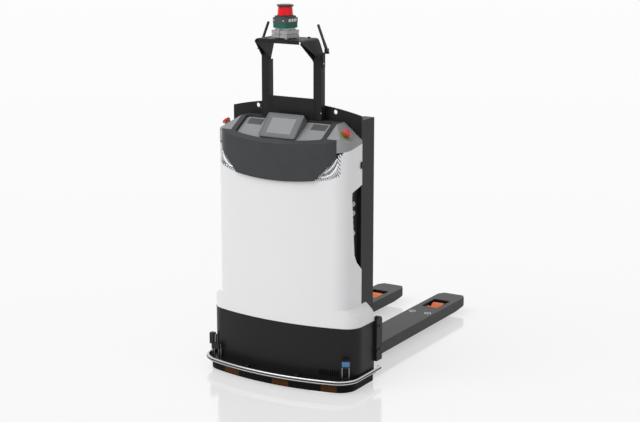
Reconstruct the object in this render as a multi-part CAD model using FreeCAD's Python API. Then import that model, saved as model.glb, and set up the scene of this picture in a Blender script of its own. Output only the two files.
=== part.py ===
import FreeCAD, Part
import math
import os

# Autonomous pallet-moving robot: a three-wheeled drive unit with a moulded cover, a scanner gantry
# and a lifting pair of forks whose load rollers swing down as the forks rise.
# Millimetres. +Z up, +X to the machine's left-hand side seen from the forks, forks point along +Y.
# Origin: on the floor, under the middle of the machine's length and width.

V = FreeCAD.Vector
OUT = "parts"

# ---------------------------------------------------------------- driving sizes
overall_length = 1696.0
body_front_y = -743.0          # foremost point of the cover, at the middle
rail_front_y = body_front_y - 83.0
front_y = rail_front_y
tip_y = rail_front_y + overall_length
gap = 0.4                      # clearance between pieces that move past each other closely
run = 0.05                     # radial clearance of a shaft in its bore

# back plate and pillars
plate_y = body_front_y + 209.0  # front face of the back plate
plate_t = 8.0
plate_end_z = 1330.0
plate_mid_z = 1374.0
lift_eye_x = 222.0
lift_eye_z = 1339.0
lift_eye_r = 11.0
pillar_depth = 116.0
pillar_width = 58.0
pillar_t = 8.0
pillar_top_z = 1310.0

# body covers
body_half = 372.0
front_radius = 1300.0          # bow of the front face seen from above
body_corner_r = 80.0
cover_t = 4.0
plate_half = body_half - cover_t - gap
skirt_half = body_half + 48.0
skirt_corner_r = 90.0
skirt_rear_y = plate_y + 45.0
skirt_bottom_z = 52.0
split_z = 312.0                # joint between the dark skirt and the white cover
flare_top_z = 402.0
side_top_front_z = 1172.0
side_top_rear_z = 1199.0

# console
console_proud = 14.0
console_low_mid_z = 1021.0
console_low_end_z = 1036.0
console_low_half = body_half - 150.0
console_side_half = body_half - 20.0
console_side_z = 1166.0
top_slope = 32.0               # degrees, fall of the console top towards the front
slope_foot_y = body_front_y - 21.0
slope_foot_z = 1197.0
roof_z = 1296.0
shoulder_half = body_half - 100.0
shoulder_front_y = body_front_y + 43.0
shoulder_drop = 0.80           # fall of the shoulder per millimetre outwards
tray_half = body_half - 127.0
tray_front_y = body_front_y + 37.0   # at the tray's front corners
tray_bow = 27.0                # how far the tray's front edge bows forward at the middle
tray_rear_y = body_front_y + 144.0
tray_depth = 18.0
lamp_end_y = body_front_y + 57.0     # where the corner lamps end on the side

# gantry
gantry_front_y = plate_y - 44.0
upright_inner = 125.0
upright_outer = 170.0
sheet_t = 5.0
gantry_bottom_z = 1225.0
cross_top_z = 1401.0
head_z = 1690.0                # top face of the head plate
head_drop = 98.0               # height of the head's leaning ends
shoulder_z = head_z - head_drop
head_half = 129.0
head_front_y = gantry_front_y - 113.0
head_rear_y = gantry_front_y + 41.0
scanner_y = gantry_front_y - 51.0

# scanner
scanner_side = 96.0
scanner_yaw = -9.0
scanner_corner_r = 20.0

# forks
fork_outer = 280.0
fork_width = 164.0
fork_top_z = 86.0
fork_height = 62.0
fork_wall = 6.0
fork_heel_y = plate_y + 162.0
lift_travel = 100.0
window_front_y = tip_y - 316.0
window_rear_y = tip_y - 158.0
window_width = 98.0
roller_r = 40.0
roller_width = 70.0
roller_pitch = 84.0
arm_pivot_y = tip_y - 530.0
arm_pivot_z = 60.0
bogie_y = tip_y - 245.0
bogie_z = roller_r
access_hole_y = tip_y - 433.0
access_hole_r = 17.0

# running gear
drive_wheel_r = 98.0
drive_wheel_w = 66.0
drive_y = plate_y - 92.0
base_z = 160.0                 # underside of the chassis base plate
base_t = 8.0
caster_wheel_r = 62.0
caster_wheel_w = 46.0
caster_x = body_half - 87.0
caster_y = plate_y - 64.0
caster_trail = 34.0

# bumper
rail_reach = 18.0              # how far the rail stands out beyond the skirt's sides
rail_half = skirt_half + rail_reach
rail_corner_r = 115.0
rail_depth = 11.0
rail_h = 20.0
rail_loop_r = 12.0
rail_rear_y = plate_y + 86.0
ring_half = skirt_half - 5.0
ring_front_y = rail_front_y + 33.0
ring_corner_r = 90.0
ring_z0, ring_z1 = 4.0, 46.0
deck_t = skirt_bottom_z - ring_z1
deck_half = rail_half - 8.0
bumper_travel = 8.0

parts = {}


def put(name, *solids):
    parts.setdefault(name, []).extend(solids)


# ---------------------------------------------------------------- small shape helpers
def box(x0, x1, y0, y1, z0, z1):
    return Part.makeBox(x1 - x0, y1 - y0, z1 - z0, V(x0, y0, z0))


def cyl(r, start, axis, length):
    return Part.makeCylinder(r, length, V(*start), V(*axis))


def tube(r_out, r_in, start, axis, length):
    return cyl(r_out, start, axis, length).cut(cyl(r_in, start, axis, length))


def prism_z(points, z0, z1):
    wire = Part.makePolygon([V(x, y, z0) for x, y in points] + [V(points[0][0], points[0][1], z0)])
    return Part.Face(wire).extrude(V(0, 0, z1 - z0))


def prism_x(points, x0, x1):
    wire = Part.makePolygon([V(x0, y, z) for y, z in points] + [V(x0, points[0][0], points[0][1])])
    return Part.Face(wire).extrude(V(x1 - x0, 0, 0))


def prism_y(points, y0, y1):
    wire = Part.makePolygon([V(x, y0, z) for x, z in points] + [V(points[0][0], y0, points[0][1])])
    return Part.Face(wire).extrude(V(0, y1 - y0, 0))


def mirrored(shape):
    return shape.mirror(V(0, 0, 0), V(1, 0, 0))


def both(shape):
    return [shape, mirrored(shape)]


def fuse(shapes):
    out = shapes[0]
    for s in shapes[1:]:
        out = out.fuse(s)
    return out.removeSplitter()


def fillet_where(shape, radius, wanted):
    edges = [e for e in shape.Edges if wanted(e)]
    return shape.makeFillet(radius, edges) if edges else shape


def is_vertical(e):
    a, b = e.Vertexes[0].Point, e.Vertexes[-1].Point
    return abs(a.x - b.x) < 1e-6 and abs(a.y - b.y) < 1e-6 and abs(a.z - b.z) > 1


def rounded_box(x0, x1, y0, y1, z0, z1, r):
    return fillet_where(box(x0, x1, y0, y1, z0, z1), r, is_vertical)


def turned(shape, degrees, axis, centre):
    return shape.copy().rotate(V(*centre), V(*axis), degrees)


def hex_head(centre, axis, across, height):
    r = across / math.sqrt(3)
    pts = [V(r * math.cos(math.radians(60 * k)), r * math.sin(math.radians(60 * k)), 0) for k in range(7)]
    head = Part.Face(Part.makePolygon(pts)).extrude(V(0, 0, height))
    head.Placement = FreeCAD.Placement(V(*centre), FreeCAD.Rotation(V(0, 0, 1), V(*axis)))
    return head


# ---------------------------------------------------------------- body form
def bow(x):
    """Distance that the front face falls back at x, from its foremost point."""
    return front_radius - math.sqrt(front_radius ** 2 - x * x)


def bowed_prism(half, fy, rear_y, corner_r, z0, z1):
    """An outline seen from above: a bowed front, rounded corners, straight sides."""
    end_y = fy + bow(half)
    front = Part.Arc(V(-half, end_y, z0), V(0, fy, z0), V(half, end_y, z0)).toShape()
    side = Part.makeLine(V(half, end_y, z0), V(half, rear_y, z0))
    rear = Part.makeLine(V(half, rear_y, z0), V(-half, rear_y, z0))
    other = Part.makeLine(V(-half, rear_y, z0), V(-half, end_y, z0))
    solid = Part.Face(Part.Wire([front, side, rear, other])).extrude(V(0, 0, z1 - z0))
    return fillet_where(solid, corner_r, lambda e: is_vertical(e) and e.Vertexes[0].Point.y < rear_y - 1)


def plan_prism(half, rear_y, corner_r, z0, z1, proud=0.0):
    return bowed_prism(half + proud, body_front_y - proud, rear_y, corner_r + proud, z0, z1)


def flare_profile(inset):
    """Front-view outline of the widening foot of the white cover."""
    s, b = skirt_half - inset, body_half - inset
    z0, z1 = split_z, flare_top_z - inset
    edges = [
        Part.makeLine(V(s, 0, z0), V(s, 0, z0 + 20)),
        Part.Arc(V(s, 0, z0 + 20), V(s - 7, 0, z0 + 50), V(s - 24, 0, z1 - 20)).toShape(),
        Part.Arc(V(s - 24, 0, z1 - 20), V(s - 34, 0, z1 - 11), V(b, 0, z1)).toShape(),
        Part.makeLine(V(b, 0, z1), V(-b, 0, z1)),
        Part.Arc(V(-b, 0, z1), V(34 - s, 0, z1 - 11), V(24 - s, 0, z1 - 20)).toShape(),
        Part.Arc(V(24 - s, 0, z1 - 20), V(7 - s, 0, z0 + 50), V(-s, 0, z0 + 20)).toShape(),
        Part.makeLine(V(-s, 0, z0 + 20), V(-s, 0, z0)),
        Part.makeLine(V(-s, 0, z0), V(s, 0, z0)),
    ]
    face = Part.Face(Part.Wire(edges))
    face.translate(V(0, front_y, 0))
    return face.extrude(V(0, overall_length, 0))


def cover_form(inset, z_top):
    upper = plan_prism(body_half, plate_y, body_corner_r, split_z, z_top, -inset)
    lower = plan_prism(skirt_half, skirt_rear_y, skirt_corner_r, split_z, flare_top_z, -inset)
    return upper.fuse(lower.common(flare_profile(inset)))


def console_outline(grow=0.0):
    """Front-view outline of the dark console, open-topped, as a prism along the machine."""
    low, mid = console_low_end_z - grow, console_low_mid_z - grow
    half, side = console_low_half + grow, console_side_half + grow
    side_z = console_side_z - grow
    edges = [
        Part.Arc(V(-half, 0, low), V(0, 0, mid), V(half, 0, low)).toShape(),
        Part.Arc(V(half, 0, low), V(half + 58, 0, low + 66), V(side, 0, side_z)).toShape(),
        Part.makeLine(V(side, 0, side_z), V(side, 0, 1400)),
        Part.makeLine(V(side, 0, 1400), V(-side, 0, 1400)),
        Part.makeLine(V(-side, 0, 1400), V(-side, 0, side_z)),
        Part.Arc(V(-side, 0, side_z), V(-half - 58, 0, low + 66), V(-half, 0, low)).toShape(),
    ]
    face = Part.Face(Part.Wire(edges))
    face.translate(V(0, front_y, 0))
    return face.extrude(V(0, plate_y - front_y, 0))


def lamp_outline(grow=0.0):
    """Front-view outline of the right-hand corner lamp: under the console's rising edge."""
    low = console_low_end_z
    a = V(console_low_half - 4 - grow, 0, low - 2 - grow)
    b = V(body_half - 60, 0, low + 16 - grow)
    c = V(body_half + 20, 0, low + 62 - grow)
    d = V(body_half + 20, 0, console_side_z + 6)
    e = V(console_side_half - 2, 0, console_side_z + 6)
    m = V(console_low_half + 40, 0, low + 78)
    edges = [Part.Arc(a, b, c).toShape(), Part.makeLine(c, d), Part.makeLine(d, e),
             Part.Arc(e, m, a).toShape()]
    face = Part.Face(Part.Wire(edges))
    face.translate(V(0, front_y, 0))
    return face


def lamp_prism(y_end, grow=0.0):
    return lamp_outline(grow).extrude(V(0, y_end - front_y, 0))


def roof(lower=0.0):
    """Everything under the cover's roof: front slope, flat top and falling shoulders."""
    z_flat = roof_z - lower
    sine, cosine = math.sin(math.radians(top_slope)), math.cos(math.radians(top_slope))
    rise_to = (z_flat - slope_foot_z + lower / cosine) * cosine / sine
    foot_z = slope_foot_z - lower / cosine
    side = prism_x([(front_y, 900), (front_y, foot_z - 60), (slope_foot_y, foot_z),
                    (slope_foot_y + rise_to, z_flat), (plate_y, z_flat), (plate_y, 900)], -500, 500)
    fall = shoulder_drop * (skirt_half - shoulder_half)
    section = prism_y([(-skirt_half, 900), (-skirt_half, z_flat - fall), (-shoulder_half, z_flat),
                       (shoulder_half, z_flat), (skirt_half, z_flat - fall), (skirt_half, 900)],
                      front_y, plate_y)
    return side.common(section)


def side_top_cut():
    """Everything above the white cover's side edge, which rises towards the back plate."""
    return prism_x([(front_y, side_top_front_z - 6), (body_front_y + 34, side_top_front_z),
                    (plate_y, side_top_rear_z), (plate_y, 1500), (front_y, 1500)], -500, 500)


pocket_points = [(plate_y, 999.0), (plate_y - 93, 975.0), (plate_y - 96, 950.0), (plate_y - 71, 663.0),
                 (plate_y - 49, 623.0), (plate_y, 578.0)]


def pocket_prism(grow, x0, x1):
    cy = sum(p[0] for p in pocket_points) / 6
    cz = sum(p[1] for p in pocket_points) / 6
    pts = []
    for y, z in pocket_points:
        d = math.hypot(y - cy, z - cz)
        pts.append((min(plate_y, y + grow * (y - cy) / d), z + grow * (z - cz) / d))
    return prism_x(pts, x0, x1)


# ---------------------------------------------------------------- covers
def make_covers():
    shell = cover_form(0, 1260).cut(cover_form(cover_t, 1270))
    # the inner form is open at the split so the shell's lower rim is a plain edge
    h = body_half - cover_t
    shell = shell.cut(box(-h, h, plate_y, skirt_rear_y + 5, split_z - 1, 500))
    shell = shell.cut(side_top_cut()).cut(console_outline(gap))
    for lamp in both(lamp_prism(lamp_end_y, gap)):
        shell = shell.cut(lamp)
    for pocket in both(pocket_prism(0, body_half - 30, body_half + 5)):
        shell = shell.cut(pocket)
    put("body_shell", biggest(shell))

    skirt = plan_prism(skirt_half, skirt_rear_y, skirt_corner_r, skirt_bottom_z, split_z)
    skirt = skirt.cut(plan_prism(skirt_half, skirt_rear_y + 5, skirt_corner_r,
                                 skirt_bottom_z - 1, split_z + 1, -cover_t))
    # vent opening, low at one side of the front
    skirt = skirt.cut(vent_prism(0))
    put("skirt_cover", biggest(skirt))
    put("skirt_cover", *make_vent())


def biggest(shape):
    return max(shape.Solids, key=lambda s: s.Volume)


vent_x0, vent_x1 = skirt_half - 184, skirt_half - 72
vent_z0, vent_z1 = skirt_bottom_z + 12, skirt_bottom_z + 54


def vent_prism(inset):
    return box(vent_x0 + inset, vent_x1 - inset, front_y, body_front_y + 53,
               vent_z0 + inset, vent_z1 - inset)


def make_vent():
    body = plan_prism(skirt_half, skirt_rear_y, skirt_corner_r, vent_z0, vent_z1, -1.0)
    body = body.cut(plan_prism(skirt_half, skirt_rear_y + 5, skirt_corner_r, vent_z0 - 1, vent_z1 + 1, -8.0))
    frame = body.common(vent_prism(gap))
    slots = int((vent_x1 - vent_x0 - 10) // 9)
    for k in range(slots):
        x = vent_x0 + 8 + k * 9
        frame = frame.cut(box(x, x + 4.5, front_y, body_front_y + 53, vent_z0 + 6, vent_z1 - 6))
    return [biggest(frame)]


def make_console():
    form = plan_prism(body_half, plate_y, body_corner_r, 1000, 1400)
    inner = plan_prism(body_half, plate_y + 1, body_corner_r, 990, 1400, -cover_t)
    proud = plan_prism(console_side_half - console_proud, plate_y, body_corner_r, 1000, 1400, console_proud)
    # dark console: proud front and the raised deck with its tray
    deck_limit = box(-shoulder_half, shoulder_half, front_y, plate_y, 900, 1400)
    outer = proud.common(console_outline()).common(roof())
    hollow = plan_prism(console_side_half - console_proud, plate_y + 1, body_corner_r, 990, 1400,
                        console_proud - cover_t)
    core = hollow.common(roof(cover_t + tray_depth))
    front_part = box(-500, 500, front_y, shoulder_front_y, 900, 1500)
    outer = outer.common(front_part.fuse(deck_limit))
    console = outer.cut(core)
    tray = tray_cutter(0)
    console = console.cut(tray)
    put("top_console", biggest(console))
    # light deck plate in the tray
    put("tray_deck", tray_block(-gap, -tray_depth, -tray_depth + 3.0))
    # light grey shoulders at both sides of the console, down to the white cover
    sh = form.common(roof(0.8)).common(box(shoulder_half + gap, 500, front_y, plate_y, 1000, 1400))
    sh = sh.common(side_top_cut().common(box(0, 500, shoulder_front_y + gap, plate_y, 1000, 1400)))
    sh = sh.cut(inner.common(roof(cover_t)))
    sh = biggest(sh)
    for k, s in enumerate(both(sh)):
        put("shoulders", s)


def slope_frame(shape):
    """Turns a shape from the level frame at the slope's foot on to the console's slope."""
    out = shape.copy()
    out.rotate(V(0, 0, 0), V(1, 0, 0), top_slope)
    out.translate(V(0, slope_foot_y, slope_foot_z))
    return out


def slope_slab(z, t, half, y0, y1):
    c = math.cos(math.radians(top_slope))
    return slope_frame(box(-half, half, (y0 - slope_foot_y) / c, (y1 - slope_foot_y) / c, z, z + t))


def tray_block(grow, z0, z1):
    """A slab with the tray's outline, whose front edge is bowed like the body's front."""
    c = math.cos(math.radians(top_slope))
    h, rear = tray_half + grow, (tray_rear_y - slope_foot_y) / c + grow
    ends = (tray_front_y - slope_foot_y) / c - grow
    middle = ends - tray_bow / c
    front = Part.Arc(V(-h, ends, z0), V(0, middle, z0), V(h, ends, z0)).toShape()
    lines = [Part.makeLine(V(h, ends, z0), V(h, rear, z0)), Part.makeLine(V(h, rear, z0), V(-h, rear, z0)),
             Part.makeLine(V(-h, rear, z0), V(-h, ends, z0))]
    block = Part.Face(Part.Wire([front] + lines)).extrude(V(0, 0, z1 - z0))
    return slope_frame(fillet_where(block, 14 + grow, is_vertical))


def tray_cutter(grow):
    return tray_block(grow, -tray_depth - grow, 60)


# ---------------------------------------------------------------- touch screen
screen_tilt = 45.0
screen_w, screen_h, screen_t = 206.0, 142.0, 34.0
screen_foot_y, screen_foot_z = body_front_y + 22.0, 1224.0
screen_rim = 9.0


def screen_place(shape):
    out = shape.copy()
    out.rotate(V(0, 0, 0), V(1, 0, 0), screen_tilt)
    out.translate(V(0, screen_foot_y, screen_foot_z))
    return out


def make_screen():
    half = screen_w / 2
    body = fillet_where(box(-half, half, 0, screen_h, -screen_t, 0), 10, is_vertical)
    e = screen_rim
    body = body.cut(fillet_where(box(-half + e, half - e, e, screen_h - e, -3, 1), 3, is_vertical))
    # the rear of the housing is bevelled where it meets the tray
    housing = screen_place(body)
    parts["top_console"][0] = biggest(parts["top_console"][0].cut(housing))
    parts["tray_deck"][0] = biggest(parts["tray_deck"][0].cut(housing))
    stand = slope_slab(-tray_depth + 3.0, 60, 34, screen_foot_y + 26, screen_foot_y + 76)
    over = screen_place(box(-200, 200, -100, 400, -screen_t, 200))
    put("screen_housing", housing, biggest(stand.cut(over)))
    e += 0.3
    glass = fillet_where(box(-half + e, half - e, e, screen_h - e, -3, -0.4), 2.7, is_vertical)
    put("screen_glass", screen_place(glass))


# ---------------------------------------------------------------- lamps
def make_lamps():
    console = parts["top_console"][0]
    deep = lambda k: plan_prism(body_half, plate_y, body_corner_r, 1000, 1260, -k)
    flange = deep(cover_t).cut(deep(26)).common(lamp_prism(lamp_end_y + 10, 10))
    bowl = deep(-1).cut(deep(22)).common(lamp_prism(lamp_end_y - 6, -7))
    housing = biggest(flange.cut(bowl).cut(console))
    lens = deep(0).cut(deep(cover_t)).common(lamp_prism(lamp_end_y)).cut(console_outline(gap))
    lens = biggest(lens.cut(console))
    leds = []
    for x, z in ((body_half - 96, 1068), (body_half - 68, 1088), (body_half - 42, 1112)):
        n = (-math.sin(math.radians(35)), math.cos(math.radians(35)), 0)
        start = (x - 60 * n[0], body_front_y + bow(x) - 60 * n[1], z)
        cup = cyl(13, start, n, 140).common(deep(9).cut(deep(22)))
        leds.append(cup.cut(cyl(10, start, n, 140).common(deep(0).cut(deep(16)))).cut(housing).cut(console))
    for side, turn in (("right", lambda q: q), ("left", mirrored)):
        put("lamp_housings", turn(housing))
        put("lamp_lenses", turn(lens))
        put("lamp_housings", *[turn(biggest(q)) for q in leds if q.Solids])


# ---------------------------------------------------------------- emergency stops
estop_x, estop_y = body_half - 41.0, body_front_y + 109.0
button_travel = 5.0


def on_shoulder(shape):
    out = shape.copy()
    out.rotate(V(0, 0, 0), V(0, 1, 0), math.degrees(math.atan(shoulder_drop)))
    z = roof_z - 0.8 - shoulder_drop * (estop_x - shoulder_half)
    out.translate(V(estop_x, estop_y, z))
    return out


def make_estops():
    up = (0, 0, 1)
    ring = tube(25, 12, (0, 0, 0), up, 3)
    collar = tube(16, 8 + run, (0, 0, 3), up, 9)
    collar = collar.fuse(cyl(16, (0, 0, 3), up, 1)).removeSplitter()
    head = cyl(20, (0, 0, 17), up, 12)
    head = head.makeFillet(5, [e for e in head.Edges if e.Vertexes[0].Point.z > 28])
    head = head.fuse(cyl(8, (0, 0, 9), up, 9)).removeSplitter()
    for side, turn in (("right", lambda q: q), ("left", mirrored)):
        put("estop_bases", turn(on_shoulder(ring)))
        put("estop_bases", turn(on_shoulder(collar)))
        put("estop_button_" + side, turn(on_shoulder(head)))


# ---------------------------------------------------------------- side pockets
panel_x = body_half - 26.0


def make_side_panels():
    inner = body_half - cover_t
    dish = pocket_prism(9, panel_x - 6, inner).cut(pocket_prism(0, panel_x, inner + 1))
    dish = dish.cut(box(0, 500, plate_y, -400, 0, 1500))
    plain = mirrored(dish)
    along = (1, 0, 0)
    y = plate_y - 38.0
    for z in (908.0, 863.0, 764.0):
        dish = dish.cut(cyl(9 + run, (panel_x - 7, y, z), along, 14))
    dish = dish.cut(rounded_slot(y, 814.0, 11, 5, panel_x - 7, panel_x + 1))
    put("side_panels", dish)
    port = rounded_slot(y, 814.0, 11, 5, panel_x - 12, panel_x - 1).cut(
        rounded_slot(y, 814.0, 8, 2.4, panel_x - 6, panel_x))
    button = cyl(9, (panel_x - 10, y, 0), along, 16)
    button = button.makeFillet(1.5, [e for e in button.Edges if e.Vertexes[0].Point.x > panel_x + 5])
    key = cyl(9, (panel_x - 10, y, 0), along, 12)
    key = key.cut(box(panel_x - 2, panel_x + 3, y - 0.9, y + 0.9, -5, 5))
    put("side_panels", port, biggest(plain))
    put("upper_button", moved(button, 0, 0, 908))
    put("lower_button", moved(button, 0, 0, 863))
    put("key_barrel", moved(key, 0, 0, 764))


def moved(shape, x, y, z):
    out = shape.copy()
    out.translate(V(x, y, z))
    return out


def rounded_slot(y, z, half_h, r, x0, x1):
    a = cyl(r, (x0, y, z - half_h), (1, 0, 0), x1 - x0)
    b = cyl(r, (x0, y, z + half_h), (1, 0, 0), x1 - x0)
    return fuse([a, b, box(x0, x1, y - r, y + r, z - half_h, z + half_h)])


# ---------------------------------------------------------------- back plate, pillars and chassis
plate_rear_y = plate_y + plate_t
pillar_rear_y = plate_rear_y + pillar_depth
base_top_z = base_z + base_t
beam_z, beam_top_z = 60.0, 82.0


def make_back_frame():
    h = plate_half
    top = [Part.makeLine(V(-h, 0, plate_end_z - 26), V(-h, 0, plate_end_z)),
           Part.Arc(V(-h, 0, plate_end_z), V(0, 0, plate_mid_z), V(h, 0, plate_end_z)).toShape(),
           Part.makeLine(V(h, 0, plate_end_z), V(h, 0, base_top_z)),
           Part.makeLine(V(h, 0, base_top_z), V(-h, 0, base_top_z)),
           Part.makeLine(V(-h, 0, base_top_z), V(-h, 0, plate_end_z - 26))]
    plate = Part.Face(Part.Wire(top)).extrude(V(0, plate_t, 0))
    plate.translate(V(0, plate_y, 0))
    for sx in (-lift_eye_x, lift_eye_x):
        plate = plate.cut(cyl(lift_eye_r, (sx, plate_y - 1, lift_eye_z), (0, 1, 0), plate_t + 2))
    for sx in (-60, 60):
        for z in (250, 420):
            plate = plate.cut(cyl(25, (sx, plate_y - 1, z), (0, 1, 0), plate_t + 2))
    put("back_plate", biggest(plate))
    latch = box(body_half, body_half + 7, plate_y - 18, plate_y - 2, 1080, 1108)
    latch = latch.fuse(cyl(5, (body_half, plate_y - 10, 1108), (1, 0, 0), 7)).removeSplitter()
    put("back_plate", *both(latch))
    x0, x1, t = plate_half - pillar_width, plate_half, pillar_t
    channel = box(x0, x1, plate_rear_y, pillar_rear_y, base_top_z, pillar_top_z)
    channel = channel.cut(box(x0 - 1, x1 - t, plate_rear_y + t, pillar_rear_y - t, 0, 2000))
    cap = box(x0, x1 - t, plate_rear_y + t, pillar_rear_y - t, pillar_top_z - 6, pillar_top_z)
    channel = channel.fuse(cap).removeSplitter()
    put("pillars", *both(channel))


def make_chassis():
    h, t = plate_half, base_t
    y0, y1 = plate_y - 166, plate_y - 116
    pts = [(80 - h, y0), (h - 80, y0), (h, y1), (h, plate_rear_y), (-h, plate_rear_y), (-h, y1)]
    base = prism_z(pts, base_z, base_top_z).cut(cyl(112, (0, drive_y, base_z - 1), (0, 0, 1), t + 2))
    cheek = prism_x([(y1, base_z - 10), (plate_rear_y - 6, base_z - 10), (plate_rear_y + 12, 60),
                     (pillar_rear_y, 60), (pillar_rear_y, 296), (y1, 296)], h, h + t)
    beam = box(-h, h, plate_rear_y + 36, pillar_rear_y - pillar_t, beam_z, beam_top_z)
    lug = box(h + t, skirt_half - 8, skirt_rear_y + 6, skirt_rear_y + 50, 140, 290)
    put("chassis_frame", fuse([base] + both(cheek)), beam)
    put("chassis_frame", *both(lug))
    side = rounded_yz(skirt_half - 8, skirt_half + 14, skirt_rear_y + 2, skirt_rear_y + 56, 105, 330, 24)
    put("chassis_frame", *both(side))
    # bridge that carries the steered drive
    leg = box(134, 142, drive_y - 70, drive_y + 70, base_top_z, 236)
    deck = box(-142, 142, drive_y - 84, drive_y + 84, 236, 246)
    deck = deck.cut(cyl(30 + run, (0, drive_y, 230), (0, 0, 1), 20))
    put("chassis_frame", fuse([deck] + both(leg)))


def rounded_yz(x0, x1, y0, y1, z0, z1, r):
    b = box(x0, x1, y0, y1, z0, z1)
    edges = [e for e in b.Edges if abs(e.Length - (x1 - x0)) < 1e-6 and
             abs(e.Vertexes[0].Point.x - e.Vertexes[-1].Point.x) > 1 and e.Vertexes[0].Point.z > z1 - 1]
    return b.makeFillet(r, edges)


# ---------------------------------------------------------------- steered drive
gear_r, pinion_r = 70.0, 17.5
pinion_gap = 0.5


def make_drive():
    y, up = drive_y, (0, 0, 1)
    r, w = drive_wheel_r, drive_wheel_w
    stem = cyl(30, (0, y, 214), up, 50)
    disc = cyl(62, (0, y, 208), up, 26)
    legs = []
    for k in (-1, 1):
        x0, x1 = sorted((k * (w / 2 + 5), k * (w / 2 + 13)))
        legs.append(box(x0, x1, y - 34, y + 34, r - 26, 212))
    yoke = fuse([stem, disc] + legs)
    yoke = yoke.cut(cyl(14 + run, (-70, y, r), (1, 0, 0), 140))
    put("drive_yoke", yoke)
    put("drive_yoke", toothed(gear_r, 60, 250, 262, 0, y, 30))
    motor = cyl(54, (0, y, 264), up, 112).fuse(cyl(40, (0, y, 376), up, 24))
    put("drive_motor", motor.removeSplitter())
    wheel = cyl(r - 16, (-w / 2 + 4, y, r), (1, 0, 0), w - 8)
    axle = cyl(14, (-w / 2 - 16, y, r), (1, 0, 0), w + 32)
    put("drive_wheel_hub", wheel.fuse(axle).removeSplitter())
    tyre = cyl(r, (-w / 2, y, r), (1, 0, 0), w)
    tyre = tyre.makeFillet(6, [e for e in tyre.Edges if e.Curve.TypeId == "Part::GeomCircle"])
    tyre = tyre.cut(cyl(r - 16, (-w / 2 - 1, y, r), (1, 0, 0), w + 2))
    put("drive_wheel_tyre", tyre)
    d = gear_r + pinion_r + pinion_gap
    pinion = cyl(pinion_r, (d, y, 250), up, 12).fuse(cyl(6, (d, y, 262), up, 14))
    put("steer_pinion", pinion.removeSplitter())
    arm = box(d - 24, d + 54, y - 26, y + 26, 266, 272)
    foot = box(d + 46, d + 54, y - 26, y + 26, 246, 266)
    bracket = arm.fuse(foot).cut(cyl(6 + run, (d, y, 260), up, 20)).removeSplitter()
    motor = cyl(26, (d + 4, y, 272), up, 88).cut(cyl(8, (d, y, 271), up, 8))
    put("steer_motor", motor)
    put("steer_motor", bracket)


def toothed(r, teeth, z0, z1, x, y, bore):
    step = 2 * math.pi / teeth
    pts = []
    for k in range(teeth):
        for q, rr in ((0.0, r - 3), (0.3, r - 3), (0.5, r), (0.8, r)):
            a = (k + q) * step
            pts.append((x + rr * math.cos(a), y + rr * math.sin(a)))
    return prism_z(pts, z0, z1).cut(cyl(bore, (x, y, z0 - 1), (0, 0, 1), z1 - z0 + 2))


def make_casters():
    up, r, w = (0, 0, 1), caster_wheel_r, caster_wheel_w
    x, y = caster_x, caster_y
    plate = rounded_box(x - 46, x + 46, y - 46, y + 46, base_z - 8, base_z, 8)
    plate = plate.fuse(cyl(28, (x, y, base_z - 20), up, 13))
    plate = plate.cut(cyl(12 + run, (x, y, base_z - 21), up, 16)).removeSplitter()
    fork = fuse([cyl(12, (x, y, 126), up, base_z - 8 - 126), cyl(22, (x, y, 128), up, base_z - 20.5 - 128),
                 box(x - w / 2 - 11, x + w / 2 + 11, y - 24, y + caster_trail + 14, 127, 135)])
    legs = []
    for k in (-1, 1):
        x0, x1 = sorted((x + k * (w / 2 + 5), x + k * (w / 2 + 11)))
        legs.append(prism_x([(y - 10, 130), (y + caster_trail - 16, r - 16), (y + caster_trail + 14, r - 16),
                             (y + caster_trail + 14, 130)], x0, x1))
    fork = fuse([fork] + legs)
    fork = fork.fuse(cyl(9, (x - w / 2 - 13, y + caster_trail, r), (1, 0, 0), w + 26)).removeSplitter()
    wheel = cyl(r, (x - w / 2, y + caster_trail, r), (1, 0, 0), w)
    wheel = wheel.makeFillet(8, [e for e in wheel.Edges if e.Curve.TypeId == "Part::GeomCircle"])
    hub = cyl(r - 18, (x - w / 2 - 2, y + caster_trail, r), (1, 0, 0), w + 4)
    tyre = wheel.cut(hub)
    hub = hub.cut(cyl(9 + run, (x - w, y + caster_trail, r), (1, 0, 0), 2 * w))
    for side, turn in (("right", lambda q: q), ("left", mirrored)):
        put("chassis_frame", turn(plate))
        put("caster_fork_" + side, turn(fork))
        put("caster_wheel_" + side, turn(biggest(tyre)))
        put("caster_wheel_" + side, turn(biggest(hub)))


# ---------------------------------------------------------------- power and hydraulics
cylinder_y = plate_rear_y + pillar_depth / 2
cylinder_top_z = 330.0


def make_power():
    front = plate_y - 166
    shelf = box(-240, 240, front, plate_y, 470, 476)
    lip = box(-240, 240, front - 6, front, 470, 500)
    put("chassis_frame", shelf.fuse(lip).removeSplitter())
    put("battery", rounded_box(-226, 226, front + 2, plate_y - 8, 476, 760, 10), *[
        cyl(12, (sx, plate_y - 82, 760), (0, 0, 1), 10) for sx in (-150, 150)])
    case = rounded_box(-210, 210, plate_y - 116, plate_y, 800, 960, 6)
    for k in range(13):
        case = case.cut(box(-196 + k * 31, -176 + k * 31, plate_y - 126, plate_y - 110, 812, 948))
    put("drive_controller", case)
    tank = rounded_box(-300, -150, front + 16, plate_y - 14, base_top_z, 300, 12)
    pump = cyl(38, (-225, plate_y - 82, 300), (0, 0, 1), 110)
    put("hydraulic_unit", tank.fuse(pump).removeSplitter())
    y, up, z0 = cylinder_y, (0, 0, 1), beam_top_z
    barrel = tube(34, 25, (0, y, z0), up, cylinder_top_z - z0).fuse(cyl(34, (0, y, z0), up, 12))
    gland = tube(34, 18 + run, (0, y, cylinder_top_z - 24), up, 30)
    put("hydraulic_unit", barrel.fuse(gland).removeSplitter())


# ---------------------------------------------------------------- forks
fork_mid = fork_outer - fork_width / 2
shoe_z = (178.0, 430.0)
carriage_top_z = 520.0


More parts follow.
